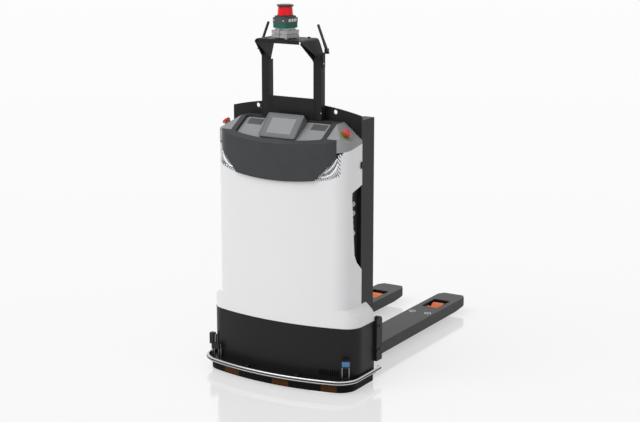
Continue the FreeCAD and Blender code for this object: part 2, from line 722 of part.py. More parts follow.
def fork_section_cut(y0, y1, z1, wall):
    return box(fork_outer - fork_width + wall, fork_outer - wall, y0, y1, -10, z1)


def make_fork():
    x0, x1 = fork_outer - fork_width, fork_outer
    z0, z1 = fork_top_z - fork_height, fork_top_z
    outline = prism_z([(x0, fork_heel_y), (x1, fork_heel_y), (x1, tip_y - 46), (x1 - 20, tip_y - 14),
                       (x1 - 46, tip_y), (x0 + 46, tip_y), (x0 + 20, tip_y - 14), (x0, tip_y - 46)], z0, z1)
    side = prism_x([(fork_heel_y, z0), (window_rear_y + 10, z0 + 4), (tip_y - 60, z0 + 12), (tip_y, z0 + 34),
                    (tip_y, z1 - 10), (tip_y - 10, z1), (fork_heel_y, z1)], x0, x1)
    fork = outline.common(side)
    t = fork_wall
    hollow = fork_section_cut(fork_heel_y + t, window_rear_y + 24, z1 - t, t)
    fork = fork.cut(hollow)
    half = window_width / 2
    fork = fork.cut(rounded_box(fork_mid - half, fork_mid + half, window_front_y, window_rear_y, 60, 100, 8))
    for dx in (-47.0, 47.0):
        fork = fork.cut(cyl(access_hole_r, (fork_mid + dx, access_hole_y, 60), (0, 0, 1), 40))
    rail = box(x0 + t, x0 + t + 4, arm_pivot_y - 26, arm_pivot_y + 26, arm_pivot_z - 20, z1 - t)
    other = box(x1 - t - 4, x1 - t, arm_pivot_y - 26, arm_pivot_y + 26, arm_pivot_z - 20, z1 - t)
    fork = fuse([fork, rail, other])
    pin = cyl(9, (x0 + 2, arm_pivot_y, arm_pivot_z), (1, 0, 0), fork_width - 4)
    return biggest(fork.fuse(pin))


def make_forks():
    fork = make_fork()
    put("fork_right", fork)
    put("fork_left", mirrored(fork))
    t = 14.0
    y0, y1 = fork_heel_y - t, fork_heel_y
    plate = box(-fork_outer, fork_outer, y0, y1, 30, carriage_top_z)
    plate = plate.cut(box(-90, 90, y0 - 1, y1 + 1, 96, 340))
    wing_x = plate_half - pillar_width - 12
    wing = box(wing_x - 12, wing_x, plate_rear_y + pillar_t + 14, y1, 100, carriage_top_z)
    tie = box(min(fork_outer - 2, wing_x - 12), wing_x, y0, y1, 100, carriage_top_z)
    bracket = box(-60, 60, cylinder_y - 30, y0, 400, 424)
    put("fork_carriage", fuse([plate, bracket] + both(wing) + both(tie)))
    g = 0.5
    shoes = []
    for z in shoe_z:
        shoes.append(box(wing_x, plate_half - pillar_t - g, plate_rear_y + pillar_t + g,
                         pillar_rear_y - pillar_t - g, z, z + 70))
    put("guide_shoes", *[q for s in shoes for q in both(s)])
    up = (0, 0, 1)
    rod = cyl(18, (0, cylinder_y, 112), up, 288).fuse(cyl(25 - run, (0, cylinder_y, 112), up, 20))
    put("lift_rod", rod.removeSplitter())


def make_load_arms():
    m, py, pz = fork_mid, arm_pivot_y, arm_pivot_z
    tilt = math.degrees(math.atan2(bogie_z - pz, bogie_y - py))
    length = math.hypot(bogie_y - py, bogie_z - pz)
    w = roller_width / 2
    p0 = w + 2.0
    p1, q0, q1 = p0 + 5.0, p0 + 6.0, p0 + 12.0
    flat = [cyl(18, (m - 30, 0, 0), (1, 0, 0), 60), box(m - 28, m + 28, 0, 150, -9, 9),
            box(m - q1, m + q1, 140, 156, -9, 9)]
    for k in (-1, 1):
        x0, x1 = sorted((m + k * q0, m + k * q1))
        flat += [box(x0, x1, 140, length, -9, 9), cyl(13, (x0, length, 0), (1, 0, 0), x1 - x0)]
    arm = fuse(flat).cut(cyl(9 + run, (m - 60, 0, 0), (1, 0, 0), 120))
    arm = arm.cut(cyl(7 + run, (m - 60, length, 0), (1, 0, 0), 120))
    arm.rotate(V(0, 0, 0), V(1, 0, 0), tilt)
    arm.translate(V(0, py, pz))
    rods = []
    bogie = []
    for k in (-1, 1):
        x0, x1 = sorted((m + k * p0, m + k * p1))
        plate = rounded_link(x0, x1, bogie_y - roller_pitch / 2, bogie_y + roller_pitch / 2, bogie_z, 13)
        xa, xb = sorted((m + k * p0, m + k * (q1 + 2)))
        bogie += [plate, cyl(7, (xa, bogie_y, bogie_z), (1, 0, 0), xb - xa)]
    for k in (-1, 1):
        bogie.append(cyl(8, (m - p1, bogie_y + k * roller_pitch / 2, bogie_z), (1, 0, 0), 2 * p1))
    bogie = fuse(bogie)
    for side, turn in (("right", lambda q: q), ("left", mirrored)):
        put("load_arm_" + side, turn(arm))
        put("bogie_" + side, turn(bogie))
        for end, k in (("front", -1), ("rear", 1)):
            y = bogie_y + k * roller_pitch / 2
            roller = cyl(roller_r, (m - w, y, bogie_z), (1, 0, 0), roller_width)
            roller = roller.makeFillet(4, [e for e in roller.Edges if e.Curve.TypeId == "Part::GeomCircle"])
            core = cyl(roller_r - 12, (m - w, y, bogie_z), (1, 0, 0), roller_width)
            put("load_roller_" + end + "_" + side, turn(roller.cut(core)))
            put("load_roller_" + end + "_" + side,
                turn(core.cut(cyl(8 + run, (m - w - 1, y, bogie_z), (1, 0, 0), roller_width + 2))))


def rounded_link(x0, x1, y0, y1, z, r):
    return fuse([box(x0, x1, y0, y1, z - r, z + r), cyl(r, (x0, y0, z), (1, 0, 0), x1 - x0),
                 cyl(r, (x0, y1, z), (1, 0, 0), x1 - x0)])


# ---------------------------------------------------------------- gantry
def portal_outline(inset):
    """Front-view outline of the gantry's head: leaning ends under a flat top with bent corners."""
    lean = math.hypot(head_z - shoulder_z, upright_outer - head_half) / (head_z - shoulder_z)
    low, top = upright_outer - inset * lean, head_half - inset * 0.8
    pts = [(-low, shoulder_z), (low, shoulder_z), (top, head_z - inset), (-top, head_z - inset)]
    form = prism_y(pts, head_front_y, head_rear_y)
    top_edge = lambda e: e.BoundBox.ZMin > head_z - inset - 1 and e.BoundBox.XLength < 1
    return fillet_where(form, 20 - inset, top_edge)


def make_gantry():
    fy, t = gantry_front_y, sheet_t
    x0, x1, back = upright_inner, upright_outer, gantry_front_y + 34
    low, z0, hz = shoulder_z - 16.0, roof_z, head_z - t
    # head: a folded sheet whose leaning ends narrow towards the uprights
    head = portal_outline(0).cut(portal_outline(t))
    keep = prism_x([(head_front_y, head_z + 1), (head_front_y, hz - 10), (fy, shoulder_z),
                    (back, shoulder_z), (head_rear_y, hz - 26), (head_rear_y, head_z + 1)], -200, 200)
    head = biggest(head.common(keep))
    lip = box(-head_half + 16, head_half - 16, head_front_y, head_front_y + t, hz - 14, hz)
    head = head.fuse(lip)
    head = head.cut(cyl(16, (0, scanner_y + 60, hz - 1), (0, 0, 1), t + 2))
    # uprights, with their front webs carried up to the head
    edge = upright_outer - (hz - shoulder_z) * (upright_outer - head_half) / (head_z - shoulder_z)
    front = prism_y([(x0, z0), (x1, z0), (x1, shoulder_z), (edge - t, hz), (x0, hz)], fy, fy + t)
    outer = box(x1 - t, x1, fy, back, z0, shoulder_z)
    inner = box(x0, x0 + t, fy, back, z0, low)
    foot = box(x0, x1, fy, back, z0, z0 + t)
    pts = [(head_front_y + 18, hz), (head_front_y + 2, hz - 8), (head_front_y + 2, hz - 14),
           (fy - 2, shoulder_z - 4), (fy + t + 1, shoulder_z - 16), (head_rear_y - 2, hz - 26), (head_rear_y, hz)]
    gusset = prism_x(pts, x0 - t, x0)
    cross = prism_y([(-x0, z0), (x0, z0), (x0, cross_top_z), (-x0, cross_top_z)], fy, fy + t)
    cross = cross.fuse(box(-x0, x0, fy + t, fy + 22, z0, z0 + t))
    sides = [q for part in (front, outer, inner, foot, gusset) for q in both(part)]
    put("gantry_frame", fuse([head, cross] + sides))
    block = box(x0 + t, x1 - t, fy + t, plate_y, z0 + t, z0 + 62)
    put("gantry_frame", *both(block))
    bolts = [hex_head((sx, head_front_y, hz - 7), (0, -1, 0), 8, 4) for sx in (-52.0, 52.0)]
    for sx in (-90.0, 90.0):
        bolts.append(hex_head((sx, head_rear_y - 22, head_z), (0, 0, 1), 13, 6))
    put("gantry_frame", *bolts)


def make_scanner():
    s, y, up = scanner_side / 2, scanner_y, (0, 0, 1)
    yaw = lambda shape: turned(shape, scanner_yaw, up, (0, y, 0))
    block = lambda z0, z1, k, r: rounded_box(-s + k, s - k, y - s + k, y + s - k, z0, z1, r)
    z = head_z
    legs = [cyl(8, (sx, y + sy, z), up, 6) for sx in (-34, 34) for sy in (-34, 34)]
    put("scanner_mount", *[yaw(q) for q in legs])
    z += 6
    lower, neck, upper = block(z, z + 16, 0, 5), block(z + 16, z + 19, 6, 3), block(z + 19, z + 35, 0, 5)
    top = block(z + 35, z + 46, 10, 12)
    put("scanner_mount", yaw(fuse([lower, neck, upper, top])))
    z += 46
    put("scanner_base", yaw(block(z, z + 24, 1, scanner_corner_r)))
    z += 24
    body = block(z, z + 24, 0, scanner_corner_r)
    crown = block(z + 24, z + 32, 7, scanner_corner_r - 4)
    spindle = cyl(5, (0, y, z + 32), up, 40)
    put("scanner_head", yaw(body.fuse(crown).removeSplitter()), spindle)
    z += 32
    cone = Part.makeCone(38, 34, 47, V(0, y, z), V(0, 0, 1))
    cone = cone.cut(Part.makeCone(35, 31, 44, V(0, y, z), V(0, 0, 1)))
    put("scanner_window", cone)
    rotor = tube(23, 5 + run, (0, y, z + 4), up, 32)
    rotor = rotor.cut(box(-30, 30, y - 26, y - 16, z + 10, z + 30))
    put("scanner_rotor", rotor)
    z += 47
    guard = cyl(39, (0, y, z), up, 5)
    ears = [box(-48, 48, y - 8, y + 8, z, z + 4), box(-8, 8, y - 48, y + 48, z, z + 4)]
    put("scanner_head", yaw(fuse([guard] + ears)))
    put("scanner_mount", yaw(box(-3, 3, y - s - 3, y - s, head_z + 8, head_z + 50)))


antenna_lean = 22.0
antenna_x, antenna_y, antenna_z = upright_outer + 18.0, gantry_front_y + 19.0, shoulder_z + 46.0


def make_antennas():
    x, y, z, o = antenna_x, antenna_y, antenna_z, upright_outer
    leaf = box(o, o + 3, y - 12, y + 12, z - 86, z - 13)
    shelf = box(o, x + 11, y - 12, y + 12, z - 17, z - 13)
    ears = [box(x - 6, x + 6, y - 12, y - 8, z - 13, z + 7), box(x - 6, x + 6, y + 8, y + 12, z - 13, z + 7)]
    pin = cyl(3, (x, y - 13, z), (0, 1, 0), 26)
    bracket = fuse([leaf, shelf] + ears + [pin])
    knuckle = cyl(7.5, (x, y - 7.5, z), (0, 1, 0), 15)
    d = (-math.sin(math.radians(antenna_lean)), 0, math.cos(math.radians(antenna_lean)))
    rod = cyl(7.4, (x, y, z), d, 36).fuse(cyl(6.5, (x, y, z), d, 126))
    cross = cyl(1.8, (x + d[0] * 44, y - 12, z + d[2] * 44), (0, 1, 0), 24)
    rod = fuse([knuckle, rod, cross]).cut(cyl(3 + run, (x, y - 20, z), (0, 1, 0), 40))
    for side, turn in (("right", lambda q: q), ("left", mirrored)):
        put("gantry_frame", turn(bracket))
        put("antenna_" + side, turn(rod))


# ---------------------------------------------------------------- bumper and corner sensors
deck_top_z = ring_z1 + deck_t
mark_x = ((-288.0, -190.0), (15.0, 106.0), (276.0, 356.0))


def ring_band(inset, depth, z0, z1):
    outer = bowed_prism(ring_half - inset, ring_front_y + inset, skirt_rear_y, ring_corner_r - inset, z0, z1)
    k = inset + depth
    return outer.cut(bowed_prism(ring_half - k, ring_front_y + k, skirt_rear_y + 1, ring_corner_r - k,
                                 z0 - 1, z1 + 1))


def make_lower_ring():
    ring = ring_band(0, 7, ring_z0, ring_z1)
    marks = []
    for x0, x1 in mark_x:
        cut = box(x0, x1, front_y - 1, ring_front_y + 90, ring_z0 + 3, ring_z1 - 2)
        marks.append(ring_band(0, 2, ring_z0, ring_z1).common(cut))
    for m in marks:
        ring = ring.cut(m)
    put("lower_ring", biggest(ring))
    put("ring_marks", *[biggest(m) for m in marks])
    deck = bowed_prism(deck_half, rail_front_y + 11, skirt_rear_y, rail_corner_r - 6, ring_z1, deck_top_z)
    deck = deck.cut(plan_prism(skirt_half, skirt_rear_y + 1, skirt_corner_r, 0, 200, -8.0))
    put("bumper_deck", biggest(deck))
    y0, y1 = ring_front_y + 18, body_front_y + 53
    for sx in (-guide_x, guide_x):
        stay = box(sx - 15, sx + 15, y0, y1, ring_z1 - 8, ring_z1)
        post = box(sx - 15, sx + 15, y1 - 16, y1, ring_z1, base_z)
        put("bumper_deck", stay.fuse(post).removeSplitter())


guide_x = 145.0
rail_z0 = deck_top_z + 0.3
guide_z = rail_z0 + rail_h / 2


def on_outer_rim(e, z0):
    """True for the upper and lower edges of the rail's outward face."""
    q = e.BoundBox
    if q.ZLength > 1e-6 or (abs(q.ZMin - z0) > 1e-6 and abs(q.ZMin - z0 - rail_h) > 1e-6):
        return False
    mid = e.valueAt((e.FirstParameter + e.LastParameter) / 2)
    inside = bowed_prism(rail_half - 2, rail_front_y + 2, rail_rear_y + 1, rail_corner_r - 2,
                         z0 - 1, z0 + rail_h + 1)
    return not inside.isInside(mid, 1e-3, True)


def make_bumper():
    z0, k = rail_z0, rail_depth
    rail = bowed_prism(rail_half, rail_front_y, rail_rear_y, rail_corner_r, z0, z0 + rail_h)
    rail = rail.cut(bowed_prism(rail_half - k, rail_front_y + k, rail_rear_y + 1, rail_corner_r - k, 0, 200))
    rail = biggest(rail)
    rail = rail.makeFillet(5, [e for e in rail.Edges if on_outer_rim(e, z0)])
    loops = [tube(rail_loop_r, rail_loop_r - 5, (sx, rail_rear_y, z0 + 2), (0, 0, 1), rail_h - 4)
             for sx in (rail_loop_r + 1 - rail_half, rail_half - rail_loop_r - 1)]
    reach = 60
    y0 = rail_front_y + bow(guide_x) + rail_depth - 5
    guides = [cyl(6, (sx, y0, guide_z), (0, 1, 0), reach) for sx in (-guide_x, guide_x)]
    put("bumper_rail", fuse([rail] + loops + guides))
    blocks = []
    for sx in (-guide_x, guide_x):
        b = box(sx - 14, sx + 14, y0 + 30, y0 + 48, deck_top_z, deck_top_z + 20)
        blocks.append(b.cut(cyl(6 + run, (sx, y0, guide_z), (0, 1, 0), 80)))
    put("bumper_deck", *blocks)


def make_corner_sensors():
    z = deck_top_z
    # looking out of the right-hand front corner
    cx, cy = skirt_half - 37, body_front_y + 38
    place = lambda q: moved(turned(q, 30, (0, 0, 1), (0, 0, 0)), cx, cy, 0)
    put("corner_sensors", place(box(-20, 20, -6, 8, z, z + 22)))
    legs = [box(sx - 2, sx + 2, -5, 7, z + 22, z + 76) for sx in (-17, 17)]
    top = box(-19, 19, -8, 10, z + 76, z + 79)
    put("sensor_stands", place(fuse(legs + [top])))
    body = rounded_box(-23, 23, -15, 15, z + 79, z + 113, 4)
    face = box(-17, 19, -16, -11, z + 84, z + 108)
    put("corner_sensors", place(body.cut(face)))
    put("sensor_window", place(box(-17, 19, -15.5, -11, z + 84, z + 108)))
    # a pair of cells at the left-hand front corner
    x0, y0 = -skirt_half - 8, body_front_y + 51
    put("corner_sensors", box(x0, x0 + 24, y0, y0 + 24, z + 61, z + 119))
    put("sensor_stands", box(x0 + 10, x0 + 18, y0 + 4, y0 + 20, z, z + 61))
    put("sensor_stands", box(x0 + 24, x0 + 34, y0 + 8, y0 + 20, z + 66, z + 112))
    x1, y1 = 24 - skirt_half, body_front_y + 22
    put("corner_sensors", box(x1, x1 + 46, y1, y1 + 22, z + 48, z + 78))
    legs = [box(x1 + k, x1 + k + 4, y1 + 8, y1 + 14, z, z + 48) for k in (9, 36)]
    strip = box(x1 + 49, x1 + 53, y1 + 8, y1 + 14, z, z + 75)
    put("sensor_stands", *legs, strip)


# ---------------------------------------------------------------- build and write
# the forms above are laid out from the body; the finished part's origin lies under its middle
centre_y = (rail_front_y + tip_y) / 2


def write_parts():
    os.makedirs(OUT, exist_ok=True)
    for name in sorted(parts):
        solids = []
        for shape in parts[name]:
            solids.extend(shape.Solids)
        assert solids, name
        shape = solids[0] if len(solids) == 1 else Part.makeCompound(solids)
        shape.translate(V(0, -centre_y, 0))
        shape.exportStep(os.path.join(OUT, name + ".step"))
        valid = all(s.isValid() for s in solids)
        print(name, len(solids), "solids", valid, round(shape.Volume / 1e6, 3), "litres")


def build():
    make_covers()
    make_console()
    make_screen()
    for step in (make_lamps, make_estops, make_side_panels, make_back_frame, make_chassis, make_drive,
                 make_casters, make_power, make_forks, make_load_arms, make_gantry, make_scanner,
                 make_antennas, make_lower_ring, make_bumper, make_corner_sensors):
        step()
    write_parts()


build()
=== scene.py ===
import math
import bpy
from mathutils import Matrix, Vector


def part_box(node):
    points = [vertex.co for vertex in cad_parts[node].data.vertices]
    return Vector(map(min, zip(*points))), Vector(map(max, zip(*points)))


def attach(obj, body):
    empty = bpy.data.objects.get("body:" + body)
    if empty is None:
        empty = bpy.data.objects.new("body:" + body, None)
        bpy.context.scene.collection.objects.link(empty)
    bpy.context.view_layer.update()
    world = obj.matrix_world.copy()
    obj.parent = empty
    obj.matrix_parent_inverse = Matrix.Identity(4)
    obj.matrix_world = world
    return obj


bl_info = {
    "name": "Pallet robot dressing",
    "version": (1, 0, 0),
    "blender": (4, 5, 0),
    "location": "View3D > Sidebar > Robot",
    "description": "Dresses the packed pallet robot with its finishes and fine pieces",
    "category": "Object",
}

import bmesh
import bpy
from bpy.props import FloatProperty, FloatVectorProperty, PointerProperty
from mathutils import Matrix, Vector

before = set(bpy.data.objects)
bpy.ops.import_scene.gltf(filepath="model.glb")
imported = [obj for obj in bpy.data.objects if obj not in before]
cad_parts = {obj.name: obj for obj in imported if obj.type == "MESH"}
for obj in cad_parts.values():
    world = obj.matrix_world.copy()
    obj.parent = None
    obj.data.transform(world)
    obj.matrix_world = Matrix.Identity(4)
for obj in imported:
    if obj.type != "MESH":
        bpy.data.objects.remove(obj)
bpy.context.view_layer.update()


# ------------------------------------------------------------------ shader maths
class Num:
    """A number socket that Python arithmetic adds Math nodes to."""

    def __init__(self, tree, socket):
        self.tree, self.socket = tree, socket

    def op(self, kind, *others):
        return self.tree.add("ShaderNodeMath", {"operation": kind}, *others)

    def __add__(self, o):
        return self.op("ADD", self, o)

    __radd__ = __add__

    def __mul__(self, o):
        return self.op("MULTIPLY", self, o)

    __rmul__ = __mul__

    def __sub__(self, o):
        return self.op("SUBTRACT", self, o)

    def __rsub__(self, o):
        return self.op("SUBTRACT", o, self)

    def __gt__(self, o):
        return self.op("GREATER_THAN", self, o)

    def __lt__(self, o):
        return self.op("LESS_THAN", self, o)

    def clamp(self):
        return self.tree.add("ShaderNodeClamp", {}, self)

    def ramp(self, low, high):
        """0 below low, 1 above high, smooth between."""
        settings = {"interpolation_type": "SMOOTHSTEP"}
        return self.tree.add("ShaderNodeMapRange", settings, self, low, high, 0.0, 1.0)


class Finish:
    """One material under construction: a Principled surface and the nodes that feed it."""

    def __init__(self, name, colour, rough, **plain):
        self.mat = bpy.data.materials.new(name)
        self.mat.use_nodes = True
        self.tree = self.mat.node_tree
        self.bsdf = self.tree.nodes["Principled BSDF"]
        self.bsdf.inputs["Base Color"].default_value = (*colour[:3], 1.0)
        self.bsdf.inputs["Roughness"].default_value = rough
        for key, value in plain.items():
            self.bsdf.inputs[key.replace("_", " ")].default_value = value

    def add(self, kind, settings, *values, out=0, **named):
        node = self.tree.nodes.new(kind)
        for key, value in settings.items():
            setattr(node, key, value)
        for socket, value in zip(node.inputs, values):
            self.feed(socket, value)
        for key, value in named.items():
            self.feed(node.inputs[key], value)
        return Num(self, node.outputs[out])

    def feed(self, socket, value):
        if isinstance(value, Num):
            self.tree.links.new(value.socket, socket)
        elif isinstance(value, (tuple, list)) and len(value) == 3 and socket.type == "RGBA":
            socket.default_value = (*value, 1.0)
        else:
            socket.default_value = value

    def where(self):
        return self.add("ShaderNodeTexCoord", {}, out=3)

    def axis(self, k):
        """0, 1 or 2: how far along X, Y or Z, in metres."""
        return self.add("ShaderNodeSeparateXYZ", {}, self.where(), out=k)

    def noise(self, size, detail, rough=0.5, stretch=(1, 1, 1)):
        spot = self.add("ShaderNodeVectorMath", {"operation": "MULTIPLY"}, self.where(), stretch)
        return self.add("ShaderNodeTexNoise", {}, spot, Scale=1.0 / size, Detail=detail,
                        Roughness=rough)

    def speckle(self, size):
        return self.add("ShaderNodeTexVoronoi", {}, self.where(), Scale=1.0 / size)

    def mix(self, factor, a, b):
        node = self.tree.nodes.new("ShaderNodeMix")
        node.data_type = "RGBA"
        for k, value in ((0, factor), (6, a), (7, b)):
            self.feed(node.inputs[k], value)
        return Num(self, node.outputs[2])

    def colour(self, value):
        self.feed(self.bsdf.inputs["Base Color"], value)
        return self

    def rough(self, value):
        self.feed(self.bsdf.inputs["Roughness"], value)
        return self

    def bump(self, height, strength, depth):
        node = self.tree.nodes.new("ShaderNodeBump")
        node.inputs["Strength"].default_value = strength
        node.inputs["Distance"].default_value = depth
        self.feed(node.inputs["Height"], height)
        self.tree.links.new(node.outputs["Normal"], self.bsdf.inputs["Normal"])
        return self


def shade(colour, factor):
    return tuple(min(1.0, c * factor) for c in colour[:3])


# ------------------------------------------------------------------ finishes
def moulded_gloss(name, colour, rough=0.28, coat=0.25, spec=0.5):
    """Painted or gel-coated moulding: a faint ripple under a clear skin."""
    f = Finish(name, colour, rough, Coat_Weight=coat, Coat_Roughness=0.12, Specular_IOR_Level=spec)
    cloud = f.noise(0.35, 2.0)
    f.colour(f.mix(cloud, shade(colour, 0.975), shade(colour, 1.01)))
    f.rough(rough + 0.08 * f.noise(0.02, 4.0))
    return f.bump(f.noise(0.006, 2.0), 0.05, 0.0003).mat


def grained_plastic(name, colour, rough=0.5, grain=0.0012, spec=0.25):
    """Spark-textured moulded plastic."""
    f = Finish(name, colour, rough, Specular_IOR_Level=spec)
    dust = f.noise(0.08, 5.0, 0.6)
    f.colour(f.mix(dust, shade(colour, 0.86), shade(colour, 1.14)))
    f.rough(rough - 0.06 + 0.14 * f.noise(0.015, 4.0))
    return f.bump(f.noise(grain, 3.0, 0.7), 0.22, 0.0003).mat


def powder_coat(name, colour, rough=0.42, spec=0.2):
    """Powder coat on sheet steel: orange peel, faint scuffs."""
    f = Finish(name, colour, rough, Specular_IOR_Level=spec)
    scuff = f.noise(0.05, 8.0, 0.7, (1, 1, 0.3)).ramp(0.58, 0.78)
    f.colour(f.mix(scuff, colour, shade(colour, 1.5)))
    f.rough(rough + 0.15 * scuff + 0.05 * f.noise(0.3, 2.0))
    return f.bump(f.noise(0.0022, 2.0), 0.2, 0.0003).mat


def worn_and_shaded_paint(name, colour, shaded_side, bare, rough=0.4):
    """Paint on a load-carrying steel face, rubbed by pallets, with painted shade: the sides are darker than
    the top.
    """
    f = Finish(name, colour, rough, Specular_IOR_Level=0.3)
    rub = f.noise(0.03, 9.0, 0.75, (4.0, 0.35, 1)).ramp(0.60, 0.74)
    normal = f.add("ShaderNodeNewGeometry", {}, out=1)
    # Painted shade: faces that look up take the paint's own colour, and the sides a darker copy of it.
    top = f.add("ShaderNodeSeparateXYZ", {}, normal, out=2).ramp(0.5, 0.9)
    body = f.mix(f.noise(0.2, 3.0), shade(colour, 0.85), shade(colour, 1.2))
    f.colour(f.mix(0.6 * rub, f.mix(top, shaded_side, body), bare))
    f.feed(f.bsdf.inputs["Metallic"], 0.5 * rub)
    f.rough(rough + 0.12 * f.noise(0.012, 5.0))
    return f.bump(f.noise(0.003, 4.0), 0.15, 0.0003).mat


def bright_metal(name, colour, rough=0.28, stretch=(1, 1, 14)):
    """Machined or drawn metal with fine lines."""
    f = Finish(name, colour, rough, Metallic=1.0)
    lines = f.noise(0.004, 4.0, 0.6, stretch)
    f.colour(f.mix(lines, shade(colour, 0.86), shade(colour, 1.08)))
    f.rough(rough + 0.18 * lines)
    return f.bump(lines, 0.06, 0.0002).mat


def rubbery(name, colour, rough=0.62):
    """Rubber or polyurethane with a dusty bloom."""
    f = Finish(name, colour, rough, Specular_IOR_Level=0.35)
    bloom = f.noise(0.02, 7.0, 0.7)
    f.colour(f.mix(bloom, shade(colour, 0.8), shade(colour, 1.25)))
    f.rough(rough - 0.08 + 0.2 * bloom)
    return f.bump(f.noise(0.002, 4.0), 0.25, 0.0003).mat


def clear_plastic(name, colour, alpha, rough=0.05, coat=0.6, spec=0.5):
    """A clear or tinted window."""
    f = Finish(name, colour, rough, Alpha=alpha, Coat_Weight=coat, Coat_Roughness=0.03,
               Specular_IOR_Level=spec)
    f.colour(f.mix(f.noise(0.05, 2.0), shade(colour, 0.95), shade(colour, 1.03)))
    return f.rough(rough + 0.05 * f.noise(0.03, 3.0)).bump(f.noise(0.02, 2.0), 0.03, 0.0002).mat


def safety_film(name, colour, dark):
    """Honeycomb safety film."""
    f = Finish(name, colour, 0.5, Specular_IOR_Level=0.12)
    cells = f.speckle(0.004).ramp(0.30, 0.42)
    f.colour(f.mix(cells, colour, dark))
    return f.bump(cells, 0.1, 0.0002).mat


# ------------------------------------------------------------------ making pieces
def add_piece(name, bm, mat, body):
    """Closes a bmesh into an object that rides on a body and takes a material slot's finish."""
    bmesh.ops.remove_doubles(bm, verts=bm.verts, dist=1e-6)
    bmesh.ops.recalc_face_normals(bm, faces=bm.faces)
    mesh = bpy.data.meshes.new(name)
    bm.to_mesh(mesh)
    bm.free()
    obj = bpy.data.objects.new(name, mesh)
    bpy.context.scene.collection.objects.link(obj)
    mesh.materials.append(mat)
    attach(obj, body)
    return obj


def smooth(obj, angle=40):
    obj.data.polygons.foreach_set("use_smooth", [True] * len(obj.data.polygons))
    obj.data.set_sharp_from_angle(angle=math.radians(angle))


def join(bm, part, place):
    """Adds a bmesh to another at a place, and frees it."""
    part.transform(place)
    mesh = bpy.data.meshes.new("part")
    part.to_mesh(mesh)
    part.free()
    bm.from_mesh(mesh)
    bpy.data.meshes.remove(mesh)


def facing(spot, direction):
    """A place at spot whose own Z looks along direction."""
    turned = Vector(direction).to_track_quat("Z", "Y").to_matrix().to_4x4()
    return Matrix.Translation(spot) @ turned


def lathe(profile, steps):
    """A closed ring or cap spun from (radius, height) points."""
    bm = bmesh.new()
    verts = [bm.verts.new((rad, 0, high)) for rad, high in profile]
    edges = [bm.edges.new(pair) for pair in zip(verts, verts[1:])]
    if profile[0][0] > 1e-6 and profile[-1][0] > 1e-6:
        edges.append(bm.edges.new((verts[-1], verts[0])))
    bmesh.ops.spin(bm, geom=verts + edges, cent=(0, 0, 0), axis=(0, 0, 1), angle=math.tau, steps=steps,
                   use_merge=True, use_duplicate=False)
    bmesh.ops.remove_doubles(bm, verts=bm.verts, dist=1e-6)
    return bm


def screw(across, tall):
    """A button head with a round socket."""
    bm = bmesh.new()
    bmesh.ops.create_cone(bm, cap_ends=True, segments=20, radius1=across / 2, radius2=across * 0.46,
                          depth=tall)
    bmesh.ops.translate(bm, verts=bm.verts, vec=(0, 0, tall / 2))
    rim = [e for e in bm.edges if min(v.co.z for v in e.verts) > tall * 0.9]
    bmesh.ops.bevel(bm, geom=rim, offset=tall * 0.4, offset_type="OFFSET", segments=2, profile=0.5,
                    affect="EDGES", material=-1)
    top = max(bm.faces, key=lambda f: f.calc_center_median().z)
    bmesh.ops.inset_region(bm, faces=[top], thickness=across * 0.17, use_even_offset=True)
    bmesh.ops.translate(bm, verts=top.verts, vec=(0, 0, -tall * 0.6))
    return bm


def hexagon(across, tall):
    """A hexagon head with chamfered corners on a washer."""
    bm = bmesh.new()
    corner = across / math.sqrt(3)
    bmesh.ops.create_cone(bm, cap_ends=True, segments=6, radius1=corner, radius2=corner, depth=tall)
    bmesh.ops.translate(bm, verts=bm.verts, vec=(0, 0, tall / 2 + 0.0015))
    rim = [e for e in bm.edges if min(v.co.z for v in e.verts) > tall]
    bmesh.ops.bevel(bm, geom=rim, offset=tall * 0.16, offset_type="OFFSET", segments=1, profile=0.5,
                    affect="EDGES", material=-1)
    wide = across * 0.66
    washer = [(0, 0), (wide, 0), (wide, 0.0013), (wide - 0.0004, 0.0016), (0, 0.0016)]
    join(bm, lathe(washer, 24), Matrix())
    return bm


def slab(low, high, round_off):
    """A block between two corners with softened edges."""
    bm = bmesh.new()
    bmesh.ops.create_cube(bm, size=1.0)
    size = [b - a for a, b in zip(low, high)]
    mid = [(a + b) / 2 for a, b in zip(low, high)]
    bmesh.ops.scale(bm, verts=bm.verts, vec=size)
    bmesh.ops.translate(bm, verts=bm.verts, vec=mid)
    bmesh.ops.bevel(bm, geom=bm.edges[:], offset=round_off, offset_type="OFFSET", segments=2, profile=0.5,
                    affect="EDGES", material=-1)
    return bm


def strand(points, radius, sides):
    """A round bar along points, spun up from a bevelled curve."""
    curve = bpy.data.curves.new("strand", "CURVE")
    curve.dimensions, curve.use_fill_caps = "3D", True
    curve.bevel_depth, curve.bevel_resolution = radius, sides // 4
    line = curve.splines.new("POLY")
    line.points.add(len(points) - 1)
    for spot, at in zip(line.points, points):
        spot.co = (*at, 1)
    obj = bpy.data.objects.new("strand", curve)
    mesh = bpy.data.meshes.new_from_object(obj)
    bm = bmesh.new()
    bm.from_mesh(mesh)
    bpy.data.meshes.remove(mesh)
    bpy.data.objects.remove(obj)
    bpy.data.curves.remove(curve)
    return bm


# ------------------------------------------------------------------ the cover's form, seen from above
BOW, CORNER = 1.300, 0.080         # radii of the bowed front and of its corners
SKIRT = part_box("skirt_cover")
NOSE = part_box("body_shell")[0][1]  # foremost point of the cover
HALF = -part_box("shoulders")[0][0]  # half width of the upper cover

